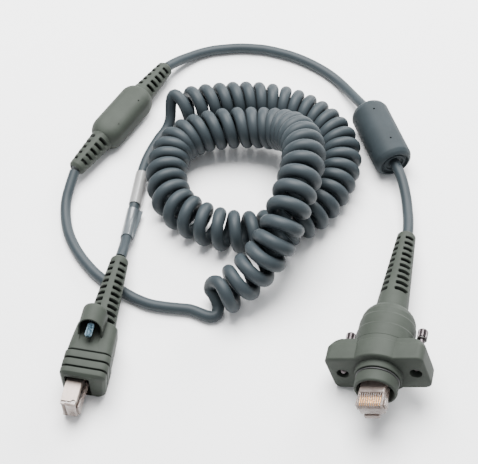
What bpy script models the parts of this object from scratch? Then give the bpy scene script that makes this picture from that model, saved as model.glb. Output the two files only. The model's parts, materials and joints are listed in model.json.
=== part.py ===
"""Coiled interface cable for a handheld barcode scanner, with its two connectors and two chokes.

Every length below is in millimetres and is turned into metres where a mesh is made.
World axes: +X to the right, +Y away from the connectors, +Z up, and the cable lies on z = 0.
Each connector and choke has its own frame: -Y is the way its plug points, +Z is its top.
"""
import math

import bmesh
import bpy
from mathutils import Matrix, Vector

MM = 0.001
GAP = 0.3                       # clearance between pieces that touch

# --- Where everything lies -------------------------------------------------------------------
CENTRE = (0.6, -2.3)            # layout point that the world's origin is under

HOST_PLACE = (-65.7, -86.2, 9.6)
HOST_TURN = (-10.5, 0.6, 0.0)   # yaw, pitch and roll in degrees
TERMINAL_PLACE = (58.6, -84.6, 17.28)
TERMINAL_TURN = (-13.8, -5.0, -21.0)
LEFT_CHOKE_PLACE = (-58.0, 64.6, 7.4)
LEFT_CHOKE_TURN = (-32.0, 0.0, 0.0)
RIGHT_CHOKE_PLACE = (69.2, 50.6, 9.35)
RIGHT_CHOKE_TURN = (18.0, 0.0, 0.0)

# --- Cable -----------------------------------------------------------------------------------
CABLE_R = 2.5
FLOOR_Z = 2.7                   # centre height of cable that lies on the floor
UNDER_Z = 2.55                  # and where it runs under the host connector's relief
LABEL_Z = 3.3                   # centre height under the label and its laminate
COIL_R = 10.0                   # outer radius of the curly stretch
TUBE_STEP = 10.0
COIL_STEP = 12.0

COIL_ROUTE = [
    (-26.9, 68.4, 10.0), (-8.8, 71.6, 10.0), (9.3, 72.0, 10.0), (26.6, 67.6, 10.0), (41.2, 57.1, 10.0),
    (48.9, 41.6, 10.0), (45.8, 22.7, 10.0), (34.0, 4.6, 10.0), (15.3, -5.9, 10.0), (-7.7, -5.7, 10.0),
    (-27.4, 5.7, 10.0), (-33.7, 19.2, 10.0), (-34.0, 33.2, 10.2), (-29.2, 43.6, 11.6), (-20.1, 48.6, 13.3),
    (-7.6, 50.9, 14.6), (5.7, 51.0, 15.4), (16.7, 48.4, 17.5), (22.9, 44.4, 20.6), (27.1, 38.3, 24.7),
    (29.4, 30.2, 28.8), (29.8, 20.8, 31.9), (27.6, 7.1, 33.4), (22.8, -7.2, 31.3), (17.5, -17.3, 27.4),
    (11.0, -25.9, 21.8), (6.1, -30.7, 17.3), (0.7, -35.0, 13.1), (-3.0, -37.8, 11.2),
]
HOST_CORD_ROUTE = [
    (-53.7, -21.3, 10.2), (-53.0, -17.1, 9.2), (-52.4, -10.6, 6.7), (-51.2, 1.6, LABEL_Z + 0.5),
    (-49.6, 13.5, LABEL_Z), (-48.2, 23.6, LABEL_Z), (-46.6, 33.8, LABEL_Z), (-44.3, 43.4, FLOOR_Z + 0.1),
    (-40.0, 53.6, FLOOR_Z), (-36.7, 59.1, 3.2), (-34.5, 62.6, 5.0), (-33.5, 66.4, 7.5), (-33.2, 69.2, 10.2),
    (-32.6, 71.0, 12.8), (-31.4, 71.8, 14.3),
]
TAIL_CORD_ROUTE = [
    (-10.5, -37.0, 6.2), (-9.7, -38.9, 4.7), (-8.7, -41.7, 3.2), (-8.7, -45.0, FLOOR_Z),
    (-10.9, -48.1, FLOOR_Z), (-14.5, -47.6, FLOOR_Z), (-17.9, -46.0, FLOOR_Z), (-22.0, -44.3, FLOOR_Z),
    (-33.2, -43.1, FLOOR_Z), (-46.4, -39.6, UNDER_Z), (-52.4, -36.1, UNDER_Z), (-58.1, -32.3, UNDER_Z),
    (-62.8, -28.9, UNDER_Z), (-68.5, -23.0, FLOOR_Z), (-75.0, -13.4, FLOOR_Z), (-79.5, -3.0, FLOOR_Z),
    (-81.8, 6.8, FLOOR_Z), (-82.2, 15.6, 3.4), (-80.9, 22.6, 5.2), (-79.0, 30.6, 7.3),
]
BRIDGE_CORD_ROUTE = [
    (-37.0, 98.6, 7.4), (-33.9, 102.0, 6.2), (-30.5, 105.2, 4.8), (-25.5, 108.8, 3.6),
    (-15.2, 113.7, FLOOR_Z), (-4.7, 115.5, FLOOR_Z), (5.8, 115.7, FLOOR_Z), (16.2, 114.0, FLOOR_Z),
    (26.6, 110.5, FLOOR_Z), (36.8, 104.9, FLOOR_Z), (46.9, 96.7, FLOOR_Z), (51.7, 91.0, 3.0),
    (56.3, 82.7, 4.8), (60.1, 74.6, 7.6), (62.5, 69.6, 9.1),
]
TERMINAL_CORD_ROUTE = [
    (75.2, 31.6, 9.3), (77.5, 24.6, 8.9), (78.6, 17.6, 8.5), (78.9, 9.0, 8.3), (78.7, 0.5, 9.0),
    (77.4, -8.6, 10.1),
]
LABEL_SHARES = (0.345, 0.50)    # where the label and the laminate lie along the host cord
LAMINATE_SHARES = (0.14, 0.335)

# --- Host connector (ribbed overmould and shielded plug on its side) ---------------------------
HOST_HALF_W = 10.3
HOST_HALF_H = 9.6
HOST_CORNER = 3.4
RIB_PITCH = 4.0
RIB_START = 3.3
RIB_GROOVE = 0.85
RIB_DEPTH = 0.95
RIB_COUNT = 3
HOST_DRAFT = 1.9                             # how far the right side leans in towards the bottom
HOST_SHOULDER_Y = 28.8
HOST_RELIEF_Y = 65.4
HOST_RELIEF_R = (6.5, 4.1)
HOST_PLUG = (-3.75, 0.0, -2.0)
HOST_PLUG_TIP = 11.5
HOST_POCKET = (-8.0, 2.6, 12.0, -8.2, 6.0)   # x low, x high, depth, z low, z high
HOOD_X = -1.3
HOOD_Z = 12.4
HOOD_R = 5.3
HOOD_Y = (19.3, 31.2)
HOOD_SLANT = 0.36
HOOD_RECESS_R = 4.7
HOOD_RECESS_FLOOR_Z = 8.2
HOST_SCREW_Y = (16.8, 28.4, 30.4)            # tip, under the head, top of the head
HOST_SCREW_R = 1.5
HOST_HEAD_R = 2.6

# --- Terminal connector (round collar, two-screw flange, domed boot) ---------------------------
FLANGE_HALF_W = 21.4
FLANGE_X = -0.5
FLANGE_HALF_H = 10.4
FLANGE_T = 11.2
FLANGE_CORNER = 3.0
BARREL_R = 13.3
BARREL_REAR_R = 12.95
BARREL_Y = (0.2, 11.4)
COLLAR_R = 9.7
COLLAR_Y = -9.4
COLLAR_BORE_R = 7.8
SEAL_Y = -3.6
SEAL_R = 0.65
BOOT_END_Y = 78.0
SCREW_X = 15.9
SCREW_R = 1.45
SCREW_HEAD_R = 2.2
LEFT_SCREW_Y = (0.6, 16.8, 21.0)             # tip, under the head, top of the head
RIGHT_SCREW_Y = (1.9, 18.2, 22.4)
SCREW_HOLE_R = 1.8
SCREW_MOUTH_R = 2.6
WASHER_T = 0.5
TERMINAL_PLUG = (0.0, 0.0, 0.8)
TERMINAL_PLUG_TIP = 18.8

# --- Modular plug with ten contacts ------------------------------------------------------------
PLUG_HALF_W = 5.3
PLUG_HALF_H = 3.3
PLUG_LENGTH = 21.3
PLUG_STEP_Y = 6.6                            # length of the low shelf that the contacts stand on
PLUG_SHELF_Z = 1.6
CONTACTS = 10
CONTACT_PITCH = 0.95
CONTACT_SIZE = (0.36, 5.2, 1.2)
LATCH_LENGTH = 12.5
LATCH_DROP = 0.9
HOST_LATCH = (0.0, 0.8, 0.45)                # sideways, gap under the body at the nose, half thickness
TERMINAL_LATCH = (-0.8, 2.1, 1.1)
SHIELD_T = 0.25

# --- Strain reliefs ----------------------------------------------------------------------------
HOST_SLOTS = (30.4, 10, 3.35)                # first slot, how many, pitch
TERMINAL_SLOTS = (41.6, 10, 3.5)
CHOKE_SLOT_PITCH = 3.6
SLOT_WIDTH = 1.4
SLOT_SPREAD = 0.46                           # half width of a slot as a share of the radius
SLOT_ANGLES = (45, 135, 225, 315)

# --- Chokes ------------------------------------------------------------------------------------
LEFT_CHOKE_HALF = (8.0, 17.6, 7.4)
LEFT_CHOKE_END_Y = 39.2
LEFT_CHOKE_RELIEF_R = (5.8, 4.1)
RIGHT_CHOKE_R = 9.35
RIGHT_CHOKE_HALF_Y = 18.4
FERRITE_R = (5.6, 2.85)
LEFT_FERRITE_HALF_Y = 13.0
RIGHT_FERRITE_R = (6.6, 2.85)
RIGHT_FERRITE_HALF_Y = 14.0

SECTION_STEPS = 5                            # points in each quarter of a section, less one

COLOURS = {
    "grey_green_vinyl": ((0.185, 0.205, 0.182), 0.55, 0.0),
    "blue_grey_vinyl": ((0.115, 0.145, 0.158), 0.45, 0.0),
    "clear_plastic": ((0.80, 0.78, 0.74), 0.10, 0.0),
    "black_plastic": ((0.02, 0.02, 0.02), 0.50, 0.0),
    "black_rubber": ((0.015, 0.015, 0.015), 0.60, 0.0),
    "gold_plate": ((0.83, 0.62, 0.24), 0.25, 1.0),
    "nickel_plate": ((0.62, 0.58, 0.55), 0.30, 1.0),
    "zinc_plate": ((0.48, 0.58, 0.66), 0.35, 1.0),
    "dark_nickel": ((0.20, 0.18, 0.19), 0.35, 1.0),
    "copper_alloy": ((0.60, 0.45, 0.30), 0.40, 1.0),
    "ferrite": ((0.05, 0.05, 0.055), 0.70, 0.0),
    "label_film": ((0.62, 0.62, 0.61), 0.40, 0.0),
    "laminate_film": ((0.30, 0.34, 0.35), 0.25, 0.0),
}


def clear_scene():
    for obj in list(bpy.data.objects):
        bpy.data.objects.remove(obj, do_unlink=True)


def material(name):
    found = bpy.data.materials.get(name)
    if found:
        return found
    colour, roughness, metallic = COLOURS[name]
    made = bpy.data.materials.new(name)
    made.use_nodes = True
    shader = made.node_tree.nodes["Principled BSDF"]
    shader.inputs["Base Color"].default_value = (*colour, 1.0)
    shader.inputs["Roughness"].default_value = roughness
    shader.inputs["Metallic"].default_value = metallic
    return made


def frame(name, place, turn):
    """An empty that carries one connector or choke: yaw about Z, then pitch about X, then roll about Y."""
    yaw, pitch, roll = (math.radians(angle) for angle in turn)
    rotation = Matrix.Rotation(yaw, 4, "Z") @ Matrix.Rotation(pitch, 4, "X") @ Matrix.Rotation(roll, 4, "Y")
    shifted = Vector((place[0] - CENTRE[0], place[1] - CENTRE[1], place[2])) * MM
    empty = bpy.data.objects.new(name, None)
    empty.matrix_world = Matrix.Translation(shifted) @ rotation
    bpy.context.collection.objects.link(empty)
    return empty


def child_frame(name, parent, place, roll=0.0):
    empty = bpy.data.objects.new(name, None)
    empty.parent = parent
    empty.location = Vector(place) * MM
    empty.rotation_euler = (0.0, math.radians(roll), 0.0)
    bpy.context.collection.objects.link(empty)
    return empty


def solid(name, verts, faces, finish, parent, origin=(0.0, 0.0, 0.0)):
    """A closed mesh whose points are given in its parent's frame; origin is the object's own origin."""
    base = Vector(origin)
    mesh = bpy.data.meshes.new(name)
    mesh.from_pydata([tuple((Vector(v) - base) * MM) for v in verts], [], faces)
    work = bmesh.new()
    work.from_mesh(mesh)
    bmesh.ops.recalc_face_normals(work, faces=work.faces)
    work.to_mesh(mesh)
    work.free()
    mesh.shade_smooth()
    mesh.set_sharp_from_angle(angle=math.radians(35))
    if finish:
        mesh.materials.append(material(finish))
    obj = bpy.data.objects.new(name, mesh)
    obj.parent = parent
    obj.location = base * MM
    bpy.context.collection.objects.link(obj)
    return obj


def section(y, half_w, half_h=None, corner=None, cx=0.0, cz=0.0, slant=0.0, steps=SECTION_STEPS):
    """A rounded rectangle across Y, which is a circle when it is given no height and no corner radius."""
    half_h = half_w if half_h is None else half_h
    corner = min(half_w, half_h) if corner is None else min(corner, half_w, half_h)
    points = []
    for quarter in range(4):
        sx = 1 if quarter in (0, 3) else -1
        sz = 1 if quarter in (0, 1) else -1
        for step in range(steps + 1):
            angle = math.radians(90 * (quarter + step / steps))
            if step == 0:
                angle += 1e-3
            if step == steps:
                angle -= 1e-3
            x = cx + sx * (half_w - corner) + corner * math.cos(angle)
            z = cz + sz * (half_h - corner) + corner * math.sin(angle)
            points.append((x, y + slant * z, z))
    return points


def drafted(ring, half_w, half_h, draft):
    """The ring with its right side leaning in by the draft at the bottom."""
    leaning = []
    for x, y, z in ring:
        rightness = (x + half_w) / (2 * half_w)
        lowness = (half_h - z) / (2 * half_h)
        leaning.append((x - draft * rightness * lowness, y, z))
    return leaning


def loft(name, rings, finish, parent, origin=(0.0, 0.0, 0.0)):
    """A solid through rings of equal count, with a flat face at each end."""
    count = len(rings[0])
    verts = [point for ring in rings for point in ring]
    faces = []
    for i in range(len(rings) - 1):
        for j in range(count):
            k = (j + 1) % count
            faces.append((i * count + j, i * count + k, (i + 1) * count + k, (i + 1) * count + j))
    faces.append(tuple(range(count)))
    last = (len(rings) - 1) * count
    faces.append(tuple(range(last, last + count)))
    return solid(name, verts, faces, finish, parent, origin)


def sleeve(name, outer, inner, finish, parent):
    """A tube wall between two matching lists of rings, open at both ends."""
    count = len(outer[0])
    rows = len(outer)
    verts = [point for ring in outer for point in ring] + [point for ring in inner for point in ring]
    faces = []
    inside = rows * count
    for i in range(rows - 1):
        for j in range(count):
            k = (j + 1) % count
            a, b = i * count, (i + 1) * count
            faces.append((a + j, a + k, b + k, b + j))
            faces.append((inside + a + j, inside + b + j, inside + b + k, inside + a + k))
    for row in (0, rows - 1):
        for j in range(count):
            k = (j + 1) % count
            a = row * count
            faces.append((a + j, inside + a + j, inside + a + k, a + k))
    return solid(name, verts, faces, finish, parent)


def box(name, low, high, finish, parent, origin=(0.0, 0.0, 0.0)):
    (x0, y0, z0), (x1, y1, z1) = low, high
    verts = [(x, y, z) for x in (x0, x1) for y in (y0, y1) for z in (z0, z1)]
    faces = [(0, 1, 3, 2), (4, 6, 7, 5), (0, 4, 5, 1), (2, 3, 7, 6), (0, 2, 6, 4), (1, 5, 7, 3)]
    return solid(name, verts, faces, finish, parent, origin)


def turned(name, profile, finish, parent, x=0.0, z=0.0, origin=(0.0, 0.0, 0.0), steps=SECTION_STEPS):
    """A round solid about Y from (y, radius) pairs."""
    rings = [section(y, radius, cx=x, cz=z, steps=steps) for y, radius in profile]
    return loft(name, rings, finish, parent, origin)


def cutter(obj):
    obj.hide_render = True
    obj.display_type = "WIRE"
    return obj


def boolean(target, tool, operation="DIFFERENCE"):
    modifier = target.modifiers.new(f"{operation.lower()} {tool.name}", "BOOLEAN")
    modifier.operation = operation
    modifier.solver = "EXACT"
    modifier.object = cutter(tool)


def relief_radius(y, start_y, end_y, radii):
    share = (y - start_y) / (end_y - start_y)
    return radii[0] + (radii[1] - radii[0]) * share


def slots(name, parent, first_y, count, step, radius_at):
    """Every slot of one strain relief in one cutter: four rows of flat-bottomed cuts."""
    verts = []
    faces = []
    cube = [(0, 1, 3, 2), (4, 6, 7, 5), (0, 4, 5, 1), (2, 3, 7, 6), (0, 2, 6, 4), (1, 5, 7, 3)]
    for i in range(count):
        y = first_y + i * step
        radius = radius_at(y)
        floor_r = max(CABLE_R + GAP + 0.5, radius * 0.72)
        for degrees in SLOT_ANGLES:
            out = Vector((math.cos(math.radians(degrees)), 0.0, math.sin(math.radians(degrees))))
            across = Vector((-out.z, 0.0, out.x))
            base = len(verts)
            for side in (-SLOT_SPREAD * radius, SLOT_SPREAD * radius):
                for along in (-SLOT_WIDTH / 2, SLOT_WIDTH / 2):
                    for reach in (floor_r, radius + 1.5):
                        verts.append(out * reach + across * side + Vector((0.0, y + along, 0.0)))
            faces += [tuple(base + corner for corner in face) for face in cube]
    return solid(name, verts, faces, None, parent)


def smooth_route(points, step):
    """Points at even steps along the smooth curve through the route's own points."""
    route = [Vector(p) for p in points]
    route = [2 * route[0] - route[1]] + route + [2 * route[-1] - route[-2]]
    fine = []
    for a, b, c, d in zip(route, route[1:], route[2:], route[3:]):
        for i in range(16):
            t = i / 16
            fine.append(0.5 * (2 * b + (c - a) * t + (2 * a - 5 * b + 4 * c - d) * t * t
                               + (3 * b - a - 3 * c + d) * t ** 3))
    fine.append(route[-2])
    total = sum((q - p).length for p, q in zip(fine, fine[1:]))
    count = max(2, round(total / step))
    even = [fine[0]]
    walked = 0.0
    for p, q in zip(fine, fine[1:]):
        piece = (q - p).length
        while len(even) < count and walked + piece >= total * len(even) / count:
            even.append(p.lerp(q, (total * len(even) / count - walked) / piece))
        walked += piece
    even.append(fine[-1])
    return even


def cord(name, route, radius, step, finish, resolution):
    curve = bpy.data.curves.new(name, "CURVE")
    curve.dimensions = "3D"
    curve.bevel_depth = radius * MM
    curve.bevel_resolution = resolution
    curve.use_fill_caps = True
    points = smooth_route(route, step)
    spline = curve.splines.new("POLY")
    spline.points.add(len(points) - 1)
    for slot, point in zip(spline.points, points):
        slot.co = ((point.x - CENTRE[0]) * MM, (point.y - CENTRE[1]) * MM, point.z * MM, 1.0)
    curve.materials.append(material(finish))
    obj = bpy.data.objects.new(name, curve)
    bpy.context.collection.objects.link(obj)
    return obj


def stretch(points, start, end):
    """The part of an evenly stepped line between two shares of its length."""
    last = len(points) - 1
    ends = []
    for share in (start, end):
        whole = min(int(share * last), last - 1)
        ends.append(points[whole].lerp(points[whole + 1], share * last - whole))
    middle = [point for i, point in enumerate(points) if start * last < i < end * last]
    return [ends[0], *middle, ends[1]]


def wrap(name, route, start, end, inner_r, outer_r, finish):
    """A thin sleeve round part of a cord, between two shares of its length."""
    part = stretch(smooth_route(route, TUBE_STEP), start, end)
    shift = Vector((CENTRE[0], CENTRE[1], 0.0))
    outer = []
    inner = []
    for i, point in enumerate(part):
        ahead = part[min(i + 1, len(part) - 1)] - part[max(i - 1, 0)]
        side = ahead.cross(Vector((0.0, 0.0, 1.0))).normalized()
        top = side.cross(ahead).normalized()
        for ring, radius in ((outer, outer_r), (inner, inner_r)):
            ring.append([point - shift + radius * (math.cos(a) * side + math.sin(a) * top)
                         for a in (math.radians(30 * k) for k in range(12))])
    return sleeve(name, outer, inner, finish, None)


# --- Modular plug ------------------------------------------------------------------------------

def plug_body(name, parent, tip):
    """The clear body: nose at -tip, contact shelf on top, cable mouth at the back."""
    back = PLUG_LENGTH - tip
    body = box(name, (-PLUG_HALF_W, -tip, -PLUG_HALF_H), (PLUG_HALF_W, back, PLUG_HALF_H),
               "clear_plastic", parent)
    shelf = box(f"{name}_shelf_cutter", (-PLUG_HALF_W + 0.35, -tip - 1.0, PLUG_SHELF_Z),
                (PLUG_HALF_W - 0.35, -tip + PLUG_STEP_Y, PLUG_HALF_H + 1.0), None, parent)
    mouth = turned(f"{name}_mouth_cutter", [(back - 5.0, 2.6), (back + 1.0, 2.6)], None, parent)
    boolean(body, shelf)
    boolean(body, mouth)
    return body


def plug_contacts(prefix, parent, tip):
    width, length, height = CONTACT_SIZE
    for i in range(CONTACTS):
        x = (i - (CONTACTS - 1) / 2) * CONTACT_PITCH
        low = (x - width / 2, -tip + 0.7, PLUG_SHELF_Z + GAP)
        high = (x + width / 2, -tip + 0.7 + length, PLUG_SHELF_Z + GAP + height)
        box(f"{prefix}_contact_{i + 1}", low, high, "gold_plate", parent)


def plug_latch(name, parent, tip, shape):
    """The springy lever: it is hinged at the nose and drops away from the body towards its free end."""
    x, hang, root_half_t = shape
    root_y = -tip + 0.5
    root_z = -PLUG_HALF_H - hang
    rings = []
    for share, half_w, thinning in ((0.0, 3.4, 1.0), (0.2, 3.3, 0.85), (0.45, 1.9, 0.6), (1.0, 1.6, 0.5)):
        y = root_y + share * LATCH_LENGTH
        z = root_z - share * LATCH_DROP
        rings.append(section(y, half_w, root_half_t * thinning, 0.25, cx=x, cz=z, steps=1))
    return loft(name, rings, "clear_plastic", parent, origin=(x, root_y, root_z))


def plug_shield(name, parent, tip):
    """Sheet-metal channel over both narrow sides and the latch side, open over the contacts."""
    wide = PLUG_HALF_W + GAP
    front = -tip + 1.6
    back = PLUG_LENGTH - tip
    floor = -PLUG_HALF_H - GAP
    floor_start = -tip + LATCH_LENGTH + 3.0
    wall = box(name, (-wide - SHIELD_T, front, floor - SHIELD_T), (wide + SHIELD_T, back, PLUG_HALF_H),
               "nickel_plate", parent)
    inner = box(f"{name}_inner_cutter", (-wide, front - 1.0, floor), (wide, back + 1.0, PLUG_HALF_H + 1.0),
                None, parent)
    under = box(f"{name}_under_cutter", (-wide, front - 1.0, floor - 1.0), (wide, floor_start, floor + 0.1),
                None, parent)
    boolean(wall, inner)
    boolean(wall, under)
    return wall


# --- Host connector ----------------------------------------------------------------------------

def host_rings():
    """The ribbed block, its shoulder and the tapered relief, front to back."""
    block = [(0.0, HOST_HALF_W - 1.6, HOST_HALF_H - 0.9, HOST_CORNER - 0.8),
             (0.9, HOST_HALF_W - 0.3, HOST_HALF_H, HOST_CORNER)]
    for rib in range(RIB_COUNT):
        y = RIB_START + rib * RIB_PITCH
        sunk_w, sunk_h = HOST_HALF_W - RIB_DEPTH, HOST_HALF_H - RIB_DEPTH
        block.append((y, HOST_HALF_W, HOST_HALF_H, HOST_CORNER))
        block.append((y + 0.15, sunk_w, sunk_h, HOST_CORNER - 0.4))
        block.append((y + RIB_GROOVE, sunk_w, sunk_h, HOST_CORNER - 0.4))
        if rib < RIB_COUNT - 1:
            block.append((y + RIB_GROOVE + 0.1, HOST_HALF_W - 0.1, HOST_HALF_H, HOST_CORNER))
    last = block[-1][0]
    block += [(last + 0.1, HOST_HALF_W - 0.4, HOST_HALF_H - 0.3, HOST_CORNER),
              (20.0, 9.6, 9.0, 4.0),
              (HOST_SHOULDER_Y - 2.0, 9.2, 8.4, 4.6),
              (HOST_SHOULDER_Y - 0.6, 8.3, 7.8, 5.6)]
    rings = [drafted(section(y, w, h, corner), HOST_HALF_W, HOST_HALF_H, HOST_DRAFT) for y, w, h, corner in block]
    rings.append(section(HOST_SHOULDER_Y, HOST_RELIEF_R[0]))
    rings.append(section(HOST_RELIEF_Y - 1.0, HOST_RELIEF_R[1]))
    rings.append(section(HOST_RELIEF_Y, HOST_RELIEF_R[1] - 0.8))
    return rings


def host_hood(parent):
    """The half-barrel hood over the retention screw, with a front edge that leans back."""
    rings = []
    for y, radius in ((HOOD_Y[0], HOOD_R), (HOOD_Y[1] - 1.6, HOOD_R), (HOOD_Y[1] - 0.4, HOOD_R - 0.6),
                      (HOOD_Y[1], HOOD_R - 1.5)):
        lean = HOOD_SLANT if y == HOOD_Y[0] else 0.0
        low = 5.0
        high = HOOD_Z + radius
        ring = section(y - lean * HOST_HALF_H, radius, (high - low) / 2, radius, cx=HOOD_X,
                       cz=(high + low) / 2, slant=lean)
        rings.append(ring)
    return loft("host_hood_cutter", rings, None, parent)


def build_host_overmould(parent):
    body = loft("host_overmould", host_rings(), "grey_green_vinyl", parent)
    boolean(body, host_hood(parent), "UNION")
    x0, x1, depth, z0, z1 = HOST_POCKET
    pocket = loft("host_pocket_cutter", [
        section(y, (x1 - x0) / 2, (z1 - z0) / 2, 0.6, cx=(x0 + x1) / 2, cz=(z0 + z1) / 2, steps=2)
        for y in (-1.0, depth)], None, parent)
    chamber = turned("host_chamber_cutter", [(depth - 1.0, 4.4), (24.0, 4.4)], None, parent)
    bore = turned("host_bore_cutter", [(20.0, CABLE_R + GAP), (HOST_RELIEF_Y + 1.0, CABLE_R + GAP)], None, parent)
    recess_top = HOOD_Z + HOOD_RECESS_R
    recess_half_h = (recess_top - HOOD_RECESS_FLOOR_Z) / 2
    recess = loft("host_recess_cutter", [
        section(y, HOOD_RECESS_R, recess_half_h, cx=HOOD_X, cz=recess_top - recess_half_h)
        for y in (14.6, 25.0)], None, parent)
    screw_bore = turned("host_screw_bore_cutter",
                        [(24.0, 2.1), (26.2, 2.1), (26.2, 3.2), (HOOD_Y[1] + 1.0, 3.2)],
                        None, parent, HOOD_X, HOOD_Z)
    for tool in (pocket, chamber, bore, recess, screw_bore):
        boolean(body, tool)

    def radius_at(y):
        return relief_radius(y, HOST_SHOULDER_Y, HOST_RELIEF_Y, HOST_RELIEF_R)
    boolean(body, slots("host_slot_cutter", parent, *HOST_SLOTS, radius_at))


def build_screw(prefix, parent, x, z, spans, shank_r, head_r, finish="dark_nickel"):
    """A captive screw and the washer under its head; both slide, and only the screw turns."""
    tip, seat, top = spans
    washer_y = seat - GAP - WASHER_T
    carrier = child_frame(f"{prefix}_slide_frame", parent, (x, seat, z))
    washer_ends = (washer_y - seat, washer_y - seat + WASHER_T)
    outer = [section(y, head_r, steps=3) for y in washer_ends]
    inner = [section(y, shank_r + GAP, steps=3) for y in washer_ends]
    sleeve(f"{prefix}_washer", outer, inner, "black_plastic", carrier)
    profile = [(tip - seat, shank_r - 0.5), (tip - seat + 0.5, shank_r), (0.0, shank_r),
               (0.0, head_r), (top - seat - 0.4, head_r), (top - seat, head_r - 0.4)]
    screw = turned(f"{prefix}_screw", profile, finish, carrier, steps=3)
    slot = box(f"{prefix}_drive_cutter", (-head_r - 1.0, top - seat - 1.1, -0.35),
               (head_r + 1.0, top - seat + 1.0, 0.35), None, carrier)
    boolean(screw, slot)


def build_host_connector():
    host = frame("host_frame", HOST_PLACE, HOST_TURN)
    plug = child_frame("host_plug_frame", host, HOST_PLUG, roll=-90.0)
    build_host_overmould(host)
    plug_body("host_plug_body", plug, HOST_PLUG_TIP)
    plug_contacts("host", plug, HOST_PLUG_TIP)
    plug_latch("host_plug_latch", plug, HOST_PLUG_TIP, HOST_LATCH)
    plug_shield("host_plug_shield", plug, HOST_PLUG_TIP)
    ferrule("host_crimp_ferrule", host, 13.0, 19.0)
    turned("host_cable_end", [(12.6, CABLE_R), (HOST_RELIEF_Y - 0.2, CABLE_R)], "blue_grey_vinyl", host,
           steps=2)
    build_screw("host", host, HOOD_X, HOOD_Z, HOST_SCREW_Y, HOST_SCREW_R, HOST_HEAD_R, "zinc_plate")


def ferrule(name, parent, start, end):
    outer = [section(y, r, steps=3) for y, r in ((start, 3.5), (end, 3.5))]
    inner = [section(y, CABLE_R + GAP, steps=3) for y in (start, end)]
    sleeve(name, outer, inner, "copper_alloy", parent)


# --- Terminal connector ------------------------------------------------------------------------

def build_terminal_flange(parent):
    """Rectangular flange, round barrel through it and the collar with its seal groove."""
    profile = [(COLLAR_Y, COLLAR_R - 0.5), (COLLAR_Y + 0.5, COLLAR_R), (SEAL_Y - 0.9, COLLAR_R),
               (SEAL_Y - 0.9, COLLAR_R - 1.2), (SEAL_Y + 0.9, COLLAR_R - 1.2), (SEAL_Y + 0.9, COLLAR_R),
               (BARREL_Y[0], COLLAR_R), (BARREL_Y[0], BARREL_R - 0.3), (BARREL_Y[0] + 0.3, BARREL_R),
               (8.9, BARREL_R), (9.1, BARREL_REAR_R), (BARREL_Y[1], BARREL_REAR_R)]
    body = turned("terminal_flange", profile, "grey_green_vinyl", parent, steps=8)
    plan = ((0.0, 0.4), (0.4, 0.0), (7.6, 0.0), (9.4, 0.7), (10.6, 1.9), (FLANGE_T, 3.4))
    plate = loft("terminal_plate_cutter", [
        section(y, FLANGE_HALF_W - inset, FLANGE_HALF_H - min(inset, 0.4), FLANGE_CORNER, cx=FLANGE_X, steps=8)
        for y, inset in plan], None, parent)
    boolean(body, plate, "UNION")
    bore = turned("terminal_collar_bore_cutter",
                  [(COLLAR_Y - 1.0, COLLAR_BORE_R), (5.0, COLLAR_BORE_R), (5.0, 4.4), (BARREL_Y[1] + 1.0, 4.4)],
                  None, parent, steps=6)
    boolean(body, bore)
    for side, x in (("left", -SCREW_X), ("right", SCREW_X)):
        hole = turned(f"terminal_{side}_hole_cutter",
                      [(-1.0, SCREW_MOUTH_R), (5.0, SCREW_MOUTH_R), (5.0, SCREW_HOLE_R),
                       (FLANGE_T + 1.0, SCREW_HOLE_R)], None, parent, x, steps=4)
        boolean(body, hole)


def build_terminal_boot(parent):
    """The domed rear cover, which narrows into the long slotted strain relief."""
    start = BARREL_Y[1] + GAP
    relief_start = 38.0
    relief_r = (7.0, 4.3)
    profile = [(start, BARREL_REAR_R), (17.6, 12.85), (18.4, 12.55), (23.6, 12.4), (24.4, 12.1), (26.8, 11.8),
               (28.8, 11.0), (30.6, 9.6), (31.8, 8.2), (32.4, 7.5), (relief_start, relief_r[0]),
               (BOOT_END_Y - 1.2, relief_r[1]), (BOOT_END_Y, relief_r[1] - 0.9)]
    body = turned("terminal_boot", profile, "grey_green_vinyl", parent)
    chamber = turned("terminal_chamber_cutter", [(start - 1.0, 8.0), (22.0, 8.0), (27.0, 4.4), (30.0, 4.4)],
                     None, parent)
    bore = turned("terminal_bore_cutter", [(28.0, CABLE_R + GAP), (BOOT_END_Y + 1.0, CABLE_R + GAP)], None, parent)
    boolean(body, chamber)
    boolean(body, bore)

    def radius_at(y):
        return relief_radius(y, relief_start, BOOT_END_Y - 1.2, relief_r)
    boolean(body, slots("terminal_slot_cutter", parent, *TERMINAL_SLOTS, radius_at))


def build_plug_holder(parent):
    """The insert that fixes the plug in the collar."""
    body = turned("terminal_plug_holder", [(-4.0, COLLAR_BORE_R - GAP), (4.6, COLLAR_BORE_R - GAP)],
                  "black_plastic", parent)
    z = TERMINAL_PLUG[2]
    window = box("terminal_window_cutter", (-PLUG_HALF_W - GAP, -6.0, z - PLUG_HALF_H - GAP),
                 (PLUG_HALF_W + GAP, 6.0, z + PLUG_HALF_H + GAP), None, parent)
    boolean(body, window)


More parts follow.
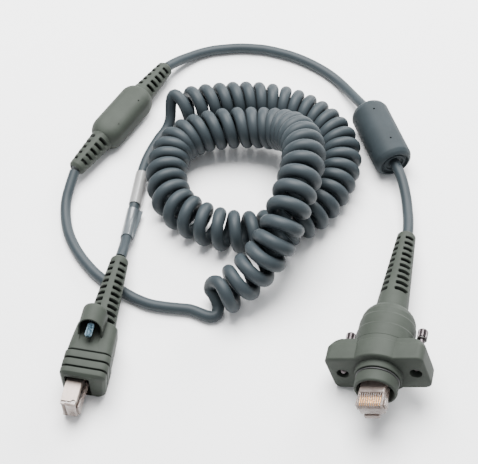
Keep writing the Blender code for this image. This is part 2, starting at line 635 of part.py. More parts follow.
def build_seal(parent):
    """O-ring in the collar's groove."""
    mesh = bpy.data.meshes.new("terminal_seal_ring")
    work = bmesh.new()
    around, across = 32, 8
    major = COLLAR_R - 1.2 + GAP + SEAL_R
    rings = []
    for i in range(around):
        a = 2 * math.pi * i / around
        ring = []
        for j in range(across):
            b = 2 * math.pi * j / across
            radius = major + SEAL_R * math.cos(b)
            point = Vector((radius * math.cos(a), SEAL_Y + SEAL_R * 0.85 * math.sin(b), radius * math.sin(a)))
            ring.append(work.verts.new(point * MM))
        rings.append(ring)
    for i in range(around):
        for j in range(across):
            k, m = (i + 1) % around, (j + 1) % across
            work.faces.new((rings[i][j], rings[k][j], rings[k][m], rings[i][m]))
    bmesh.ops.recalc_face_normals(work, faces=work.faces)
    work.to_mesh(mesh)
    work.free()
    mesh.shade_smooth()
    mesh.materials.append(material("black_rubber"))
    obj = bpy.data.objects.new("terminal_seal_ring", mesh)
    obj.parent = parent
    bpy.context.collection.objects.link(obj)


def build_terminal_connector():
    terminal = frame("terminal_frame", TERMINAL_PLACE, TERMINAL_TURN)
    plug = child_frame("terminal_plug_frame", terminal, TERMINAL_PLUG)
    build_terminal_flange(terminal)
    build_terminal_boot(terminal)
    build_plug_holder(terminal)
    build_seal(terminal)
    plug_body("terminal_plug_body", plug, TERMINAL_PLUG_TIP)
    plug_contacts("terminal", plug, TERMINAL_PLUG_TIP)
    plug_latch("terminal_plug_latch", plug, TERMINAL_PLUG_TIP, TERMINAL_LATCH)
    ferrule("terminal_crimp_ferrule", terminal, 11.0, 18.0)
    turned("terminal_cable_end", [(5.2, CABLE_R), (BOOT_END_Y - 0.2, CABLE_R)], "blue_grey_vinyl", terminal,
           steps=2)
    build_screw("terminal_left", terminal, -SCREW_X, 0.0, LEFT_SCREW_Y, SCREW_R, SCREW_HEAD_R)
    build_screw("terminal_right", terminal, SCREW_X, 0.0, RIGHT_SCREW_Y, SCREW_R, SCREW_HEAD_R)


# --- Chokes ------------------------------------------------------------------------------------

def choke_core(prefix, parent, radii, half_y, cable_half_y):
    outer = [section(y, radii[0], steps=4) for y in (-half_y, half_y)]
    inner = [section(y, radii[1], steps=4) for y in (-half_y, half_y)]
    sleeve(f"{prefix}_ferrite", outer, inner, "ferrite", parent)
    turned(f"{prefix}_cable", [(-cable_half_y, CABLE_R), (cable_half_y, CABLE_R)], "blue_grey_vinyl", parent,
           steps=2)


def choke_cavity(prefix, parent, radius, half_y, end_y):
    bore_r = CABLE_R + GAP
    reach = half_y + GAP
    profile = [(-end_y - 1.0, bore_r), (-reach, bore_r), (-reach, radius + GAP), (reach, radius + GAP),
               (reach, bore_r), (end_y + 1.0, bore_r)]
    return turned(f"{prefix}_cavity_cutter", profile, None, parent)


def build_left_choke():
    """Flattened barrel with a slotted strain relief at each end."""
    choke = frame("left_choke_frame", LEFT_CHOKE_PLACE, LEFT_CHOKE_TURN)
    half_w, half_y, half_h = LEFT_CHOKE_HALF
    start_r, end_r = LEFT_CHOKE_RELIEF_R
    half = [(half_y - 5.5, half_w, half_h, 5.6), (half_y - 2.6, half_w - 0.7, half_h - 0.7, 5.6),
            (half_y - 0.8, half_w - 1.6, half_h - 1.4, 5.4), (half_y, start_r, start_r, start_r),
            (LEFT_CHOKE_END_Y - 1.0, end_r, end_r, end_r), (LEFT_CHOKE_END_Y, end_r - 0.8, end_r - 0.8, end_r)]
    rings = [section(-y, w, h, c) for y, w, h, c in reversed(half)] + [section(y, w, h, c) for y, w, h, c in half]
    body = loft("left_choke_overmould", rings, "grey_green_vinyl", choke)
    boolean(body, choke_cavity("left_choke", choke, FERRITE_R[0], LEFT_FERRITE_HALF_Y, LEFT_CHOKE_END_Y))

    def radius_at(y):
        return relief_radius(abs(y), half_y, LEFT_CHOKE_END_Y - 1.0, LEFT_CHOKE_RELIEF_R)
    boolean(body, slots("left_choke_upper_slot_cutter", choke, half_y + 2.6, 5, CHOKE_SLOT_PITCH, radius_at))
    boolean(body, slots("left_choke_lower_slot_cutter", choke, -half_y - 2.6, 5, -CHOKE_SLOT_PITCH, radius_at))
    choke_core("left_choke", choke, FERRITE_R, LEFT_FERRITE_HALF_Y, LEFT_CHOKE_END_Y - 0.2)


def build_right_choke():
    """Round barrel with a stepped recess round the cable at its lower end."""
    choke = frame("right_choke_frame", RIGHT_CHOKE_PLACE, RIGHT_CHOKE_TURN)
    r, h = RIGHT_CHOKE_R, RIGHT_CHOKE_HALF_Y
    profile = [(-h + 1.2, 5.0), (-h + 1.2, 7.0), (-h + 0.2, 7.0), (-h, 7.6), (-h + 0.9, 8.7),
               (-h + 2.8, r), (h - 4.2, r), (h - 2.2, r - 0.8), (h - 0.7, r - 2.3), (h, r - 4.4)]
    body = turned("right_choke_overmould", profile, "blue_grey_vinyl", choke, steps=6)
    boolean(body, choke_cavity("right_choke", choke, RIGHT_FERRITE_R[0], RIGHT_FERRITE_HALF_Y, h))
    choke_core("right_choke", choke, RIGHT_FERRITE_R, RIGHT_FERRITE_HALF_Y, h - 1.4)


# --- Cable -------------------------------------------------------------------------------------

def build_cable():
    cord("coil_cord", COIL_ROUTE, COIL_R, COIL_STEP, "blue_grey_vinyl", 3)
    cord("host_cord", HOST_CORD_ROUTE, CABLE_R, TUBE_STEP, "blue_grey_vinyl", 2)
    cord("tail_cord", TAIL_CORD_ROUTE, CABLE_R, TUBE_STEP, "blue_grey_vinyl", 2)
    cord("bridge_cord", BRIDGE_CORD_ROUTE, CABLE_R, TUBE_STEP, "blue_grey_vinyl", 2)
    cord("terminal_cord", TERMINAL_CORD_ROUTE, CABLE_R, TUBE_STEP, "blue_grey_vinyl", 2)
    wrap("cable_label", HOST_CORD_ROUTE, *LABEL_SHARES, CABLE_R + GAP, CABLE_R + 0.55, "label_film")
    wrap("label_laminate", HOST_CORD_ROUTE, *LAMINATE_SHARES, CABLE_R + GAP, CABLE_R + 0.5, "laminate_film")


def main():
    clear_scene()
    build_host_connector()
    build_terminal_connector()
    build_left_choke()
    build_right_choke()
    build_cable()
    bpy.context.view_layer.update()


main()
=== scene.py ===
"""Looks of the coiled interface cable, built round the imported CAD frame. Lengths are in millimetres
until a mesh is made, like the CAD part's own, and MM turns them into metres."""
import json
import math

import bmesh
import bpy
from mathutils import Matrix, Vector


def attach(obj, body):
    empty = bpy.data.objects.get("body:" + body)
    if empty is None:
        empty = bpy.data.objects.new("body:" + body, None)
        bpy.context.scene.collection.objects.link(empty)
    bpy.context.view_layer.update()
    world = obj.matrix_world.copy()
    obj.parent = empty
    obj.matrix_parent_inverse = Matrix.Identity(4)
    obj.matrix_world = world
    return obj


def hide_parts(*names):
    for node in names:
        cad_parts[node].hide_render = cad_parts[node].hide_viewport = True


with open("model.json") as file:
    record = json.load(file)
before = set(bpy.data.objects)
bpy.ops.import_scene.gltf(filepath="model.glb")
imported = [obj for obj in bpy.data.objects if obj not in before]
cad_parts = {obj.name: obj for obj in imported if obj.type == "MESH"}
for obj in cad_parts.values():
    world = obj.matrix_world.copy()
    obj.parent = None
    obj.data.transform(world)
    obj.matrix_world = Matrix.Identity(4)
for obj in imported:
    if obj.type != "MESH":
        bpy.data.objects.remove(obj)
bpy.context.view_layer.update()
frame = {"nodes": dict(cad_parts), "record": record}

MM = 0.001
CENTRE = Vector((0.6, -2.3, 0.0))
ROOT = "cable_set"

HOST_PLACE = (-65.7, -86.2, 9.6)
HOST_TURN = (-10.5, 0.6, 0.0)
TERMINAL_PLACE = (58.6, -84.6, 17.28)
TERMINAL_TURN = (-13.8, -5.0, -21.0)
LEFT_CHOKE_PLACE = (-58.0, 64.6, 7.4)
LEFT_CHOKE_TURN = (-32.0, 0.0, 0.0)
RIGHT_CHOKE_PLACE = (69.2, 50.6, 9.35)
RIGHT_CHOKE_TURN = (18.0, 0.0, 0.0)
HOST_PLUG = (-3.75, 0.0, -2.0)
TERMINAL_PLUG = (0.0, 0.0, 0.8)

CABLE_R = 2.5
COIL_CABLE_R = 2.88             # the jacket is fatter in the curly stretch
FRONT_CABLE_R = 3.15            # and fattest where the loops are pulled sideways, near the front
FRONT_START = 0.68              # shares of the curly stretch where that begins and ends
FRONT_END = 1.01
FRONT_FADE = 0.08
SWELL_STEPS = 20                # points over which the jacket swells at each end of the curly stretch
HELIX_R = 7.15
HELIX_STEPS = 30
HELIX_TURNS = (0.30, 60.62)
# Where the loops lean along the coil: first turn, last turn, and how far as a share of HELIX_R.
LEANS = ((0.0, 7.0, -0.12), (34.0, 46.0, -0.12), (51.0, 60.6, 0.18))
CABLE_SIDES = 20
PATH_STEP = 1.7
EASE_REACH = 9
EASE_ROUNDS = 5
FLOOR_Z = 2.6                   # height of a cable's centre where it lies on the floor
LABEL_Z = 3.2                   # and where it lies there in its sleeves

# The coil's centre line: x, y, z and the turn of the helix there.
COIL_ROUTE = [
    (-29.9, 68.1, 10.0, 0.0), (-9.4, 71.6, 10.0, 3.0), (9.3, 72.0, 10.0, 6.0), (26.6, 67.6, 10.0, 9.0),
    (41.2, 57.1, 10.0, 12.0), (48.9, 41.6, 10.0, 15.0), (45.8, 22.7, 10.0, 18.0), (34.0, 4.6, 10.0, 21.0),
    (15.3, -5.9, 10.0, 24.0), (-7.7, -5.7, 10.0, 27.0), (-27.4, 5.7, 10.0, 30.0),
    (-33.7, 19.2, 10.0, 32.0), (-34.0, 33.2, 10.2, 34.0), (-29.2, 43.6, 11.6, 36.0),
    (-20.1, 48.6, 13.3, 38.0), (-7.6, 50.9, 14.6, 40.0), (5.7, 51.0, 15.4, 42.0),
    (16.7, 48.4, 17.5, 44.0), (22.9, 44.4, 20.6, 45.5), (27.1, 38.3, 24.7, 47.0),
    (29.4, 30.2, 28.8, 48.5), (29.8, 20.8, 31.9, 50.0), (27.6, 7.1, 33.4, 52.0), (22.8, -7.2, 31.3, 54.0),
    (18.0, -18.9, 27.0, 55.5), (12.3, -27.2, 21.6, 57.0), (7.4, -31.3, 17.2, 58.0),
    (1.7, -35.4, 13.1, 59.0), (-6.2, -39.9, 10.0, 60.0), (-10.4, -42.6, 10.0, 60.6),
]
HOST_ROUTE = [
    (-53.75, -21.5, 10.25), (-53.0, -17.1, 9.2), (-52.4, -10.7, 6.7), (-51.2, 1.5, 3.7),
    (-49.6, 13.4, LABEL_Z), (-48.2, 23.5, LABEL_Z), (-46.7, 33.8, LABEL_Z), (-44.3, 43.4, 2.8),
    (-40.0, 53.6, 2.7), (-36.7, 58.9, 3.1), (-34.8, 62.3, 4.7), (-34.0, 65.2, 7.3), (-33.9, 67.6, 10.5),
    (-33.7, 69.3, 13.7), (-33.2, 70.4, 16.5), (-32.0, 70.9, 18.2), (-30.2, 70.2, 18.6),
]
TAIL_ROUTE = [
    (-12.2, -38.0, 10.0), (-11.0, -39.6, 7.4), (-9.9, -41.3, 5.2), (-9.0, -43.4, 3.6), (-9.1, -45.7, 2.8),
    (-11.2, -47.9, FLOOR_Z), (-14.5, -47.6, FLOOR_Z), (-17.9, -46.0, FLOOR_Z), (-22.0, -44.3, FLOOR_Z),
    (-26.5, -43.7, FLOOR_Z), (-33.2, -42.9, FLOOR_Z), (-40.0, -41.5, FLOOR_Z), (-46.2, -38.8, FLOOR_Z),
    (-51.9, -35.3, FLOOR_Z), (-57.5, -31.5, FLOOR_Z), (-62.1, -28.2, FLOOR_Z), (-67.9, -22.4, FLOOR_Z),
    (-74.6, -13.2, FLOOR_Z), (-79.5, -3.0, FLOOR_Z), (-81.8, 6.8, FLOOR_Z), (-82.2, 15.6, 3.4),
    (-80.9, 22.6, 5.2), (-78.9, 30.4, 7.2),
]
BRIDGE_ROUTE = [
    (-37.0, 97.8, 7.4), (-33.9, 101.2, 6.4), (-30.5, 104.8, 5.0), (-25.5, 108.7, 3.6),
    (-20.4, 111.8, 2.8), (-15.2, 113.7, FLOOR_Z), (-9.9, 114.8, FLOOR_Z), (0.5, 115.8, FLOOR_Z),
    (11.0, 115.1, FLOOR_Z), (16.2, 114.0, FLOOR_Z), (21.4, 112.4, FLOOR_Z), (26.6, 110.5, FLOOR_Z),
    (31.7, 108.0, FLOOR_Z), (36.8, 104.9, FLOOR_Z), (41.9, 101.2, FLOOR_Z), (46.9, 96.7, 2.7),
    (51.7, 91.0, 3.0), (56.3, 82.7, 4.8), (59.9, 74.7, 7.5), (62.2, 70.0, 8.9), (63.4, 67.4, 9.35),
]
TERMINAL_ROUTE = [
    (74.6, 34.6, 9.35), (75.8, 31.0, 9.3), (76.7, 28.2, 9.2), (77.7, 24.0, 8.9), (78.5, 18.3, 8.5),
    (78.9, 12.6, 8.3), (78.9, 6.6, 8.5), (78.7, 0.5, 9.0), (78.0, -5.8, 9.8), (77.3, -9.3, 10.3),
]


# --- Small tools -------------------------------------------------------------------------------

def place(at, turn=(0.0, 0.0, 0.0)):
    """The matrix of one connector or choke: yaw about Z, then pitch about X, then roll about Y."""
    yaw, pitch, roll = (math.radians(angle) for angle in turn)
    rotation = Matrix.Rotation(yaw, 4, "Z") @ Matrix.Rotation(pitch, 4, "X") @ Matrix.Rotation(roll, 4, "Y")
    return Matrix.Translation((Vector(at) - CENTRE) * MM) @ rotation


def inner_place(outer, at, roll=0.0):
    """The matrix of a piece that sits at a point of another place, rolled about Y."""
    return outer @ Matrix.Translation(Vector(at) * MM) @ Matrix.Rotation(math.radians(roll), 4, "Y")


def mix(p, q, share):
    """The point that lies a share of the way from p to q."""
    return tuple(a + (b - a) * share for a, b in zip(p, q))


def soften(points, radius, steps=3):
    """The same line with rounded corners; each point's first two numbers are its place in the profile."""
    out = [points[0]]
    for before, here, after in zip(points, points[1:], points[2:]):
        behind = math.dist(before[:2], here[:2])
        ahead = math.dist(here[:2], after[:2])
        cut = min(radius, 0.45 * behind, 0.45 * ahead)
        start = mix(here, before, cut / behind)
        end = mix(here, after, cut / ahead)
        for i in range(steps + 1):
            out.append(mix(mix(start, here, i / steps), mix(here, end, i / steps), i / steps))
    out.append(points[-1])
    return out


def circle(y, radius, count=64, x=0.0, z=0.0):
    """A ring of points across Y."""
    angles = [2 * math.pi * i / count for i in range(count)]
    return [(x + radius * math.cos(a), y, z + radius * math.sin(a)) for a in angles]


def oblong(y, half_w, half_h, corner, x=0.0, z=0.0, arc=8, flat=4):
    """A rounded rectangle across Y, with points along its flats as well as its corners."""
    corner = min(corner, half_w - 0.01, half_h - 0.01)
    ring = []
    for quarter in range(4):
        sx = 1 if quarter in (0, 3) else -1
        sz = 1 if quarter in (0, 1) else -1
        for step in range(arc + 1):
            a = math.radians(90 * (quarter + step / arc))
            ring.append((x + sx * (half_w - corner) + corner * math.cos(a), y,
                         z + sz * (half_h - corner) + corner * math.sin(a)))
        nx = -1 if quarter in (0, 1) else 1
        nz = 1 if quarter in (0, 3) else -1
        sx, sz = (nx, sz) if quarter in (0, 2) else (sx, nz)
        a = math.radians(90 * (quarter + 1))
        following = (x + sx * (half_w - corner) + corner * math.cos(a), y,
                     z + sz * (half_h - corner) + corner * math.sin(a))
        last = ring[-1]
        ring += [mix(last, following, k / (flat + 1)) for k in range(1, flat + 1)]
    return ring


class Shell:
    """Points and faces of one piece, in its own frame."""

    def __init__(self):
        self.verts = []
        self.faces = []

    def loft(self, rings, ends=True):
        """A skin from ring to ring, closed by a flat face at each end."""
        base = len(self.verts)
        count = len(rings[0])
        self.verts += [point for ring in rings for point in ring]
        for i in range(len(rings) - 1):
            for j in range(count):
                k = (j + 1) % count
                a, b = base + i * count, base + (i + 1) * count
                self.faces.append((a + j, a + k, b + k, b + j))
        if ends:
            self.faces.append(tuple(range(base, base + count)))
            last = base + (len(rings) - 1) * count
            self.faces.append(tuple(range(last, last + count)))
        return self

    def lathe(self, profile, count=64, x=0.0, z=0.0):
        """A turned shape about Y from (y, radius) points."""
        return self.loft([circle(y, radius, count, x, z) for y, radius in profile])

    def wall(self, outer, inner):
        """A tube between two matching lists of rings."""
        return self.loft([*outer, *reversed(inner), outer[0]], ends=False)

    def bar(self, low, high, corner=0.15):
        """A straight bar along Y with softened edges and ends."""
        x, z = (low[0] + high[0]) / 2, (low[2] + high[2]) / 2
        w, h = (high[0] - low[0]) / 2, (high[2] - low[2]) / 2
        rings = []
        for y, inset in ((low[1], corner * 0.7), (low[1] + corner * 0.7, 0.0), (high[1] - corner * 0.7, 0.0),
                         (high[1], corner * 0.7)):
            rings.append(oblong(y, w - inset, h - inset, corner, x, z, arc=3, flat=0))
        return self.loft(rings)

    def piece(self, name, at, finish, sharp=38.0):
        """The object made from the shell at its place; a tool or a piece still to be cut has no finish."""
        mesh = bpy.data.meshes.new(name)
        mesh.from_pydata([tuple(at @ (Vector(v) * MM)) for v in self.verts], [], self.faces)
        work = bmesh.new()
        work.from_mesh(mesh)
        bmesh.ops.remove_doubles(work, verts=work.verts, dist=1e-6)
        bmesh.ops.recalc_face_normals(work, faces=work.faces)
        work.to_mesh(mesh)
        work.free()
        obj = bpy.data.objects.new(name, mesh)
        bpy.context.collection.objects.link(obj)
        if finish:
            dress(obj, finish, sharp)
        return obj


def dress(obj, finish, sharp=38.0):
    """Gives the piece its material, smooth but for edges sharper than an angle."""
    obj.data.materials.clear()
    obj.data.materials.append(finish)
    obj.data.shade_smooth()
    obj.data.set_sharp_from_angle(angle=math.radians(sharp))
    return obj


def carve(obj, tool, operation="DIFFERENCE"):
    """Cuts the tool out of the piece, or joins it on, for good."""
    modifier = obj.modifiers.new("carve", "BOOLEAN")
    modifier.operation = operation
    modifier.solver = "EXACT"
    modifier.object = tool
    bpy.context.view_layer.update()
    made = bpy.data.meshes.new_from_object(obj.evaluated_get(bpy.context.evaluated_depsgraph_get()))
    obj.modifiers.remove(modifier)
    obj.data = made
    bpy.data.objects.remove(tool, do_unlink=True)


def stand_in(obj, body, *nodes):
    """obj rides on its body and stands for these CAD nodes."""
    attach(obj, body)
    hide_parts(*nodes)
    return obj


# --- Materials ---------------------------------------------------------------------------------

# The near black that the painted shade in creases blends towards.
PAINTED_SHADE_COLOUR = (0.004, 0.005, 0.005, 1.0)
IOR = 1.5
ROUGHNESS_SPREAD = 0.08
GRAIN_DEPTH = 0.05


def with_painted_shade(made, colour, reach):
    """The colour darkened towards near black by painted shade in creases narrower than reach, in
    millimetres.
    """
    nodes, links = made.node_tree.nodes, made.node_tree.links
    nearness = nodes.new("ShaderNodeAmbientOcclusion")
    nearness.samples = 6
    nearness.inputs["Distance"].default_value = reach * MM
    amount = nodes.new("ShaderNodeMapRange")
    amount.inputs["From Min"].default_value = 0.15
    amount.inputs["From Max"].default_value = 0.85
    amount.inputs["To Min"].default_value = 0.12
    blend = nodes.new("ShaderNodeMix")
    blend.data_type = "RGBA"
    blend.inputs["A"].default_value = PAINTED_SHADE_COLOUR
    links.new(nearness.outputs["AO"], amount.inputs["Value"])
    links.new(amount.outputs["Result"], blend.inputs["Factor"])
    links.new(colour, blend.inputs["B"])
    return blend.outputs["Result"]


def own_coordinates(made, stretch):
    """The piece's own coordinates, stretched along each axis."""
    nodes = made.node_tree.nodes
    mapping = nodes.new("ShaderNodeMapping")
    mapping.inputs["Scale"].default_value = stretch
    made.node_tree.links.new(nodes.new("ShaderNodeTexCoord").outputs["Object"], mapping.inputs["Vector"])
    return mapping.outputs["Vector"]


def noise(made, where, scale, detail):
    texture = made.node_tree.nodes.new("ShaderNodeTexNoise")
    texture.inputs["Scale"].default_value = scale
    texture.inputs["Detail"].default_value = detail
    made.node_tree.links.new(where, texture.inputs["Vector"])
    return texture.outputs["Fac"]


def shades(made, amount, dark, light):
    """The colour between the dark and the light shade for each amount of noise."""
    ramp = made.node_tree.nodes.new("ShaderNodeValToRGB")
    for element, position, shade in zip(ramp.color_ramp.elements, (0.3, 0.7), (dark, light)):
        element.position = position
        element.color = (*shade, 1.0)
    made.node_tree.links.new(amount, ramp.inputs["Fac"])
    return ramp.outputs["Color"]


def add_grain(made, shader, fine, roughness, bump):
    """Lets the fine noise move both the roughness and the surface."""
    nodes, links = made.node_tree.nodes, made.node_tree.links
    gloss = nodes.new("ShaderNodeMapRange")
    gloss.inputs["To Min"].default_value = roughness - ROUGHNESS_SPREAD
    gloss.inputs["To Max"].default_value = roughness + ROUGHNESS_SPREAD
    relief = nodes.new("ShaderNodeBump")
    relief.inputs["Strength"].default_value = bump
    relief.inputs["Distance"].default_value = GRAIN_DEPTH * MM
    links.new(fine, gloss.inputs["Value"])
    links.new(gloss.outputs["Result"], shader.inputs["Roughness"])
    links.new(fine, relief.inputs["Height"])
    links.new(relief.outputs["Normal"], shader.inputs["Normal"])


def procedural(name, dark, light, roughness, metallic=0.0, patch=120.0, grain=2600.0, bump=0.25, clear=0.0,
               coat=0.0, stretch=(1.0, 1.0, 1.0), painted_shade_reach=0.0, specular=0.5):
    """Two close shades in soft patches, with a fine grain and, where the shade reach isn't zero, painted
    shade darkening the creases.
    """
    made = bpy.data.materials.new(name)
    made.use_nodes = True
    shader = made.node_tree.nodes["Principled BSDF"]
    where = own_coordinates(made, stretch)
    colour = shades(made, noise(made, where, patch, 4.0), dark, light)
    # Painted shade: an ambient occlusion node darkens the colour in creases, where light is blocked.
    if painted_shade_reach:
        colour = with_painted_shade(made, colour, painted_shade_reach)
    made.node_tree.links.new(colour, shader.inputs["Base Color"])
    add_grain(made, shader, noise(made, where, grain, 2.0), roughness, bump)
    shader.inputs["Metallic"].default_value = metallic
    shader.inputs["Transmission Weight"].default_value = clear
    shader.inputs["Coat Weight"].default_value = coat
    shader.inputs["IOR"].default_value = IOR
    shader.inputs["Specular IOR Level"].default_value = specular
    return made


# The moulding and the jacket get painted shade in their creases.
MOULDING = procedural("moulding", (0.030, 0.035, 0.029), (0.037, 0.043, 0.036), 0.62, painted_shade_reach=2.6,
                      specular=0.12)
JACKET = procedural("jacket", (0.020, 0.027, 0.031), (0.026, 0.034, 0.039), 0.52, patch=60.0, grain=3200.0,
                    bump=0.15, painted_shade_reach=1.5, specular=0.2)
BARREL = procedural("choke_barrel", (0.018, 0.024, 0.027), (0.022, 0.029, 0.033), 0.58, bump=0.2,
                    specular=0.12)
CLEAR = procedural("clear_plug", (0.28, 0.22, 0.195), (0.40, 0.33, 0.295), 0.18, patch=400.0, clear=0.55)
SMOKED = procedural("clear_nose", (0.30, 0.23, 0.20), (0.50, 0.43, 0.39), 0.18, patch=500.0, clear=0.40)
GOLD = procedural("gold_contacts", (0.55, 0.25, 0.08), (0.74, 0.41, 0.16), 0.30, metallic=1.0, patch=900.0)
SHIELD = procedural("nickel_shield", (0.16, 0.135, 0.12), (0.21, 0.18, 0.16), 0.45, metallic=1.0, patch=90.0,
                    bump=0.1, stretch=(1.0, 0.15, 1.0))
ZINC = procedural("zinc_screw", (0.03, 0.08, 0.12), (0.33, 0.46, 0.54), 0.34, metallic=1.0, patch=1500.0)
DARK_NICKEL = procedural("dark_nickel", (0.04, 0.034, 0.035), (0.11, 0.095, 0.10), 0.38, metallic=1.0,
                         patch=500.0)
COPPER = procedural("copper_ferrule", (0.52, 0.32, 0.18), (0.68, 0.46, 0.29), 0.38, metallic=1.0)
FERRITE = procedural("ferrite", (0.03, 0.03, 0.033), (0.055, 0.055, 0.06), 0.7, patch=500.0)
INSERT = procedural("black_insert", (0.012, 0.011, 0.010), (0.024, 0.022, 0.020), 0.5)
RUBBER = procedural("seal_rubber", (0.010, 0.010, 0.010), (0.022, 0.022, 0.022), 0.55, bump=0.1)
LABEL = procedural("label_film", (0.15, 0.15, 0.147), (0.19, 0.19, 0.186), 0.42, patch=150.0, bump=0.08,
                   coat=0.3)
LAMINATE = procedural("laminate_film", (0.045, 0.054, 0.060), (0.068, 0.080, 0.087), 0.38, patch=150.0,
                      bump=0.06, coat=0.5)

SLOT_FINISHES = {
    "grey_green_moulding": MOULDING, "blue_grey_jacket": JACKET, "clear_plug": CLEAR,
    "gold_contacts": GOLD, "nickel_shield": SHIELD, "zinc_screw": ZINC, "dark_nickel_screws": DARK_NICKEL,
    "copper_ferrule": COPPER, "ferrite": FERRITE, "black_insert": INSERT, "seal_rubber": RUBBER,
    "label_film": LABEL, "laminate_film": LAMINATE,
}


# --- Cables ------------------------------------------------------------------------------------

def flowing(points):
    """Points about PATH_STEP apart on the smooth curve through the route's points."""
    route = [Vector(p) for p in points]
    route = [2 * route[0] - route[1], *route, 2 * route[-1] - route[-2]]
    out = []
    for a, b, c, d in zip(route, route[1:], route[2:], route[3:]):
        count = max(2, round((c - b).length / PATH_STEP))
        for i in range(count):
            t = i / count
            out.append(0.5 * (2 * b + (c - a) * t + (2 * a - 5 * b + 4 * c - d) * t * t
                              + (3 * b - a - 3 * c + d) * t ** 3))
    out.append(route[-2])
    return out


def at_turn(turn):
    """The coil's centre line at a turn, by a smooth curve through its route."""
    index = max(i for i in range(len(COIL_ROUTE) - 1) if COIL_ROUTE[i][3] <= turn or i == 0)
    low, high = COIL_ROUTE[index], COIL_ROUTE[index + 1]
    before = COIL_ROUTE[max(index - 1, 0)]
    after = COIL_ROUTE[min(index + 2, len(COIL_ROUTE) - 1)]
    span = high[3] - low[3]
    share = (turn - low[3]) / span
    point = []
    for axis in range(3):
        leave = (high[axis] - before[axis]) / (high[3] - before[3]) * span
        arrive = (after[axis] - low[axis]) / (after[3] - low[3]) * span
        point.append((2 * share ** 3 - 3 * share ** 2 + 1) * low[axis]
                     + (share ** 3 - 2 * share ** 2 + share) * leave
                     + (3 * share ** 2 - 2 * share ** 3) * high[axis]
                     + (share ** 3 - share ** 2) * arrive)
    return Vector(point)


def lean_at(turn):
    """How far the loops lean along the coil at a turn, easing in and out at each leaning stretch."""
    lean = 0.0
    for first, last, amount in LEANS:
        lean += amount * min(1.0, max(0.0, min(turn - first, last - turn) / 2 + 0.5))
    return lean


def helix():
    """The curly stretch: loops round the coil's centre line, each leaning a little along it."""
    first, last = HELIX_TURNS
    count = round((last - first) * HELIX_STEPS)
    out = []
    for i in range(count + 1):
        turn = first + (last - first) * i / count
        centre = at_turn(turn)
        along = (at_turn(turn + 0.05) - at_turn(turn - 0.05)).normalized()
        left = Vector((0.0, 0.0, 1.0)).cross(along).normalized()
        up = along.cross(left)
        phase = 2 * math.pi * turn
        lean = lean_at(turn) * along
        out.append(centre + HELIX_R * (math.cos(phase) * (left + lean) + math.sin(phase) * up))
    return out


def ease(points, places):
    """The line, smoothed near the places where two stretches of it meet."""
    points = list(points)
    for _ in range(EASE_ROUNDS):
        for meet in places:
            for i in range(max(meet - EASE_REACH, 1), min(meet + EASE_REACH, len(points) - 1)):
                points[i] = points[i] * 0.5 + (points[i - 1] + points[i + 1]) * 0.25
    return points


def carried_rings(points, radius, sides):
    """Rings round a line, each turned as little as possible from the last; radius may be one per point."""
    radii = radius if isinstance(radius, list) else [radius] * len(points)
    rings = []
    side = None
    for i, point in enumerate(points):
        along = (points[min(i + 1, len(points) - 1)] - points[max(i - 1, 0)]).normalized()
        if side is None:
            side = along.cross(Vector((0.0, 0.0, 1.0)))
        side = (side - along * side.dot(along)).normalized()
        top = side.cross(along)
        rings.append([tuple(point + radii[i] * (math.cos(a) * side + math.sin(a) * top))
                      for a in (2 * math.pi * k / sides for k in range(sides))])
    return rings


def cable(name, points, nodes, radii=CABLE_R):
    """One cable as a tube round its line, standing in for its CAD nodes."""
    obj = Shell().loft(carried_rings(points, radii, CABLE_SIDES)).piece(name, place((0.0, 0.0, 0.0)), JACKET)
    stand_in(obj, ROOT, *nodes)


def part_of(points, start, end):
    """The part of a line between two distances along it."""
    walked = 0.0
    out = []
    for p, q in zip(points, points[1:]):
        if start <= walked <= end:
            out.append(p)
        walked += (q - p).length
    return out


LABEL_SPAN = (34.6, 55.2)
LABEL_R = 2.86
LABEL_SEAM_R = 3.02
LAMINATE_SPAN = (14.0, 34.2)
LAMINATE_R = 2.88
FLAP_REACH = (0.4, 1.5)         # at the flap's start, and how much it grows by its end
FLAP_WIDTH = 0.022              # share of the way round
FILM_GAP = 0.12
FILM_SIDES = 40


def build_label(line):
    """The printed sleeve: one turn of film whose overlapping edge makes a low step along it."""
    part = part_of(line, *LABEL_SPAN)
    outer = []
    for ring, point in zip(carried_rings(part, 1.0, FILM_SIDES), part):
        shaped = []
        for k, corner in enumerate(ring):
            radius = LABEL_SEAM_R if k < FILM_SIDES // 4 else LABEL_R
            shaped.append(tuple(point + (Vector(corner) - point) * radius))
        outer.append(shaped)
    inner = carried_rings(part, CABLE_R + FILM_GAP, FILM_SIDES)
    obj = Shell().wall(outer, inner).piece("label_sleeve", place((0.0, 0.0, 0.0)), LABEL)
    return stand_in(obj, ROOT, "cable_label")


def build_laminate(line):
    """The clear tail of the label, wound once and pinched into a flap along its right side."""
    part = part_of(line, *LAMINATE_SPAN)
    outer = []
    for i, (ring, point) in enumerate(zip(carried_rings(part, 1.0, FILM_SIDES), part)):
        share = i / (len(part) - 1)
        shaped = []
        for k, corner in enumerate(ring):
            angle = abs((k + FILM_SIDES / 2) % FILM_SIDES - FILM_SIDES / 2) / FILM_SIDES
            flap = (FLAP_REACH[0] + FLAP_REACH[1] * share) * math.exp(-(angle / FLAP_WIDTH) ** 2)
            shaped.append(tuple(point + (Vector(corner) - point) * (LAMINATE_R + flap)))
        outer.append(shaped)
    inner = carried_rings(part, CABLE_R + FILM_GAP, FILM_SIDES)
    obj = Shell().wall(outer, inner).piece("laminate_sleeve", place((0.0, 0.0, 0.0)), LAMINATE, sharp=70.0)
    return stand_in(obj, ROOT, "label_laminate")


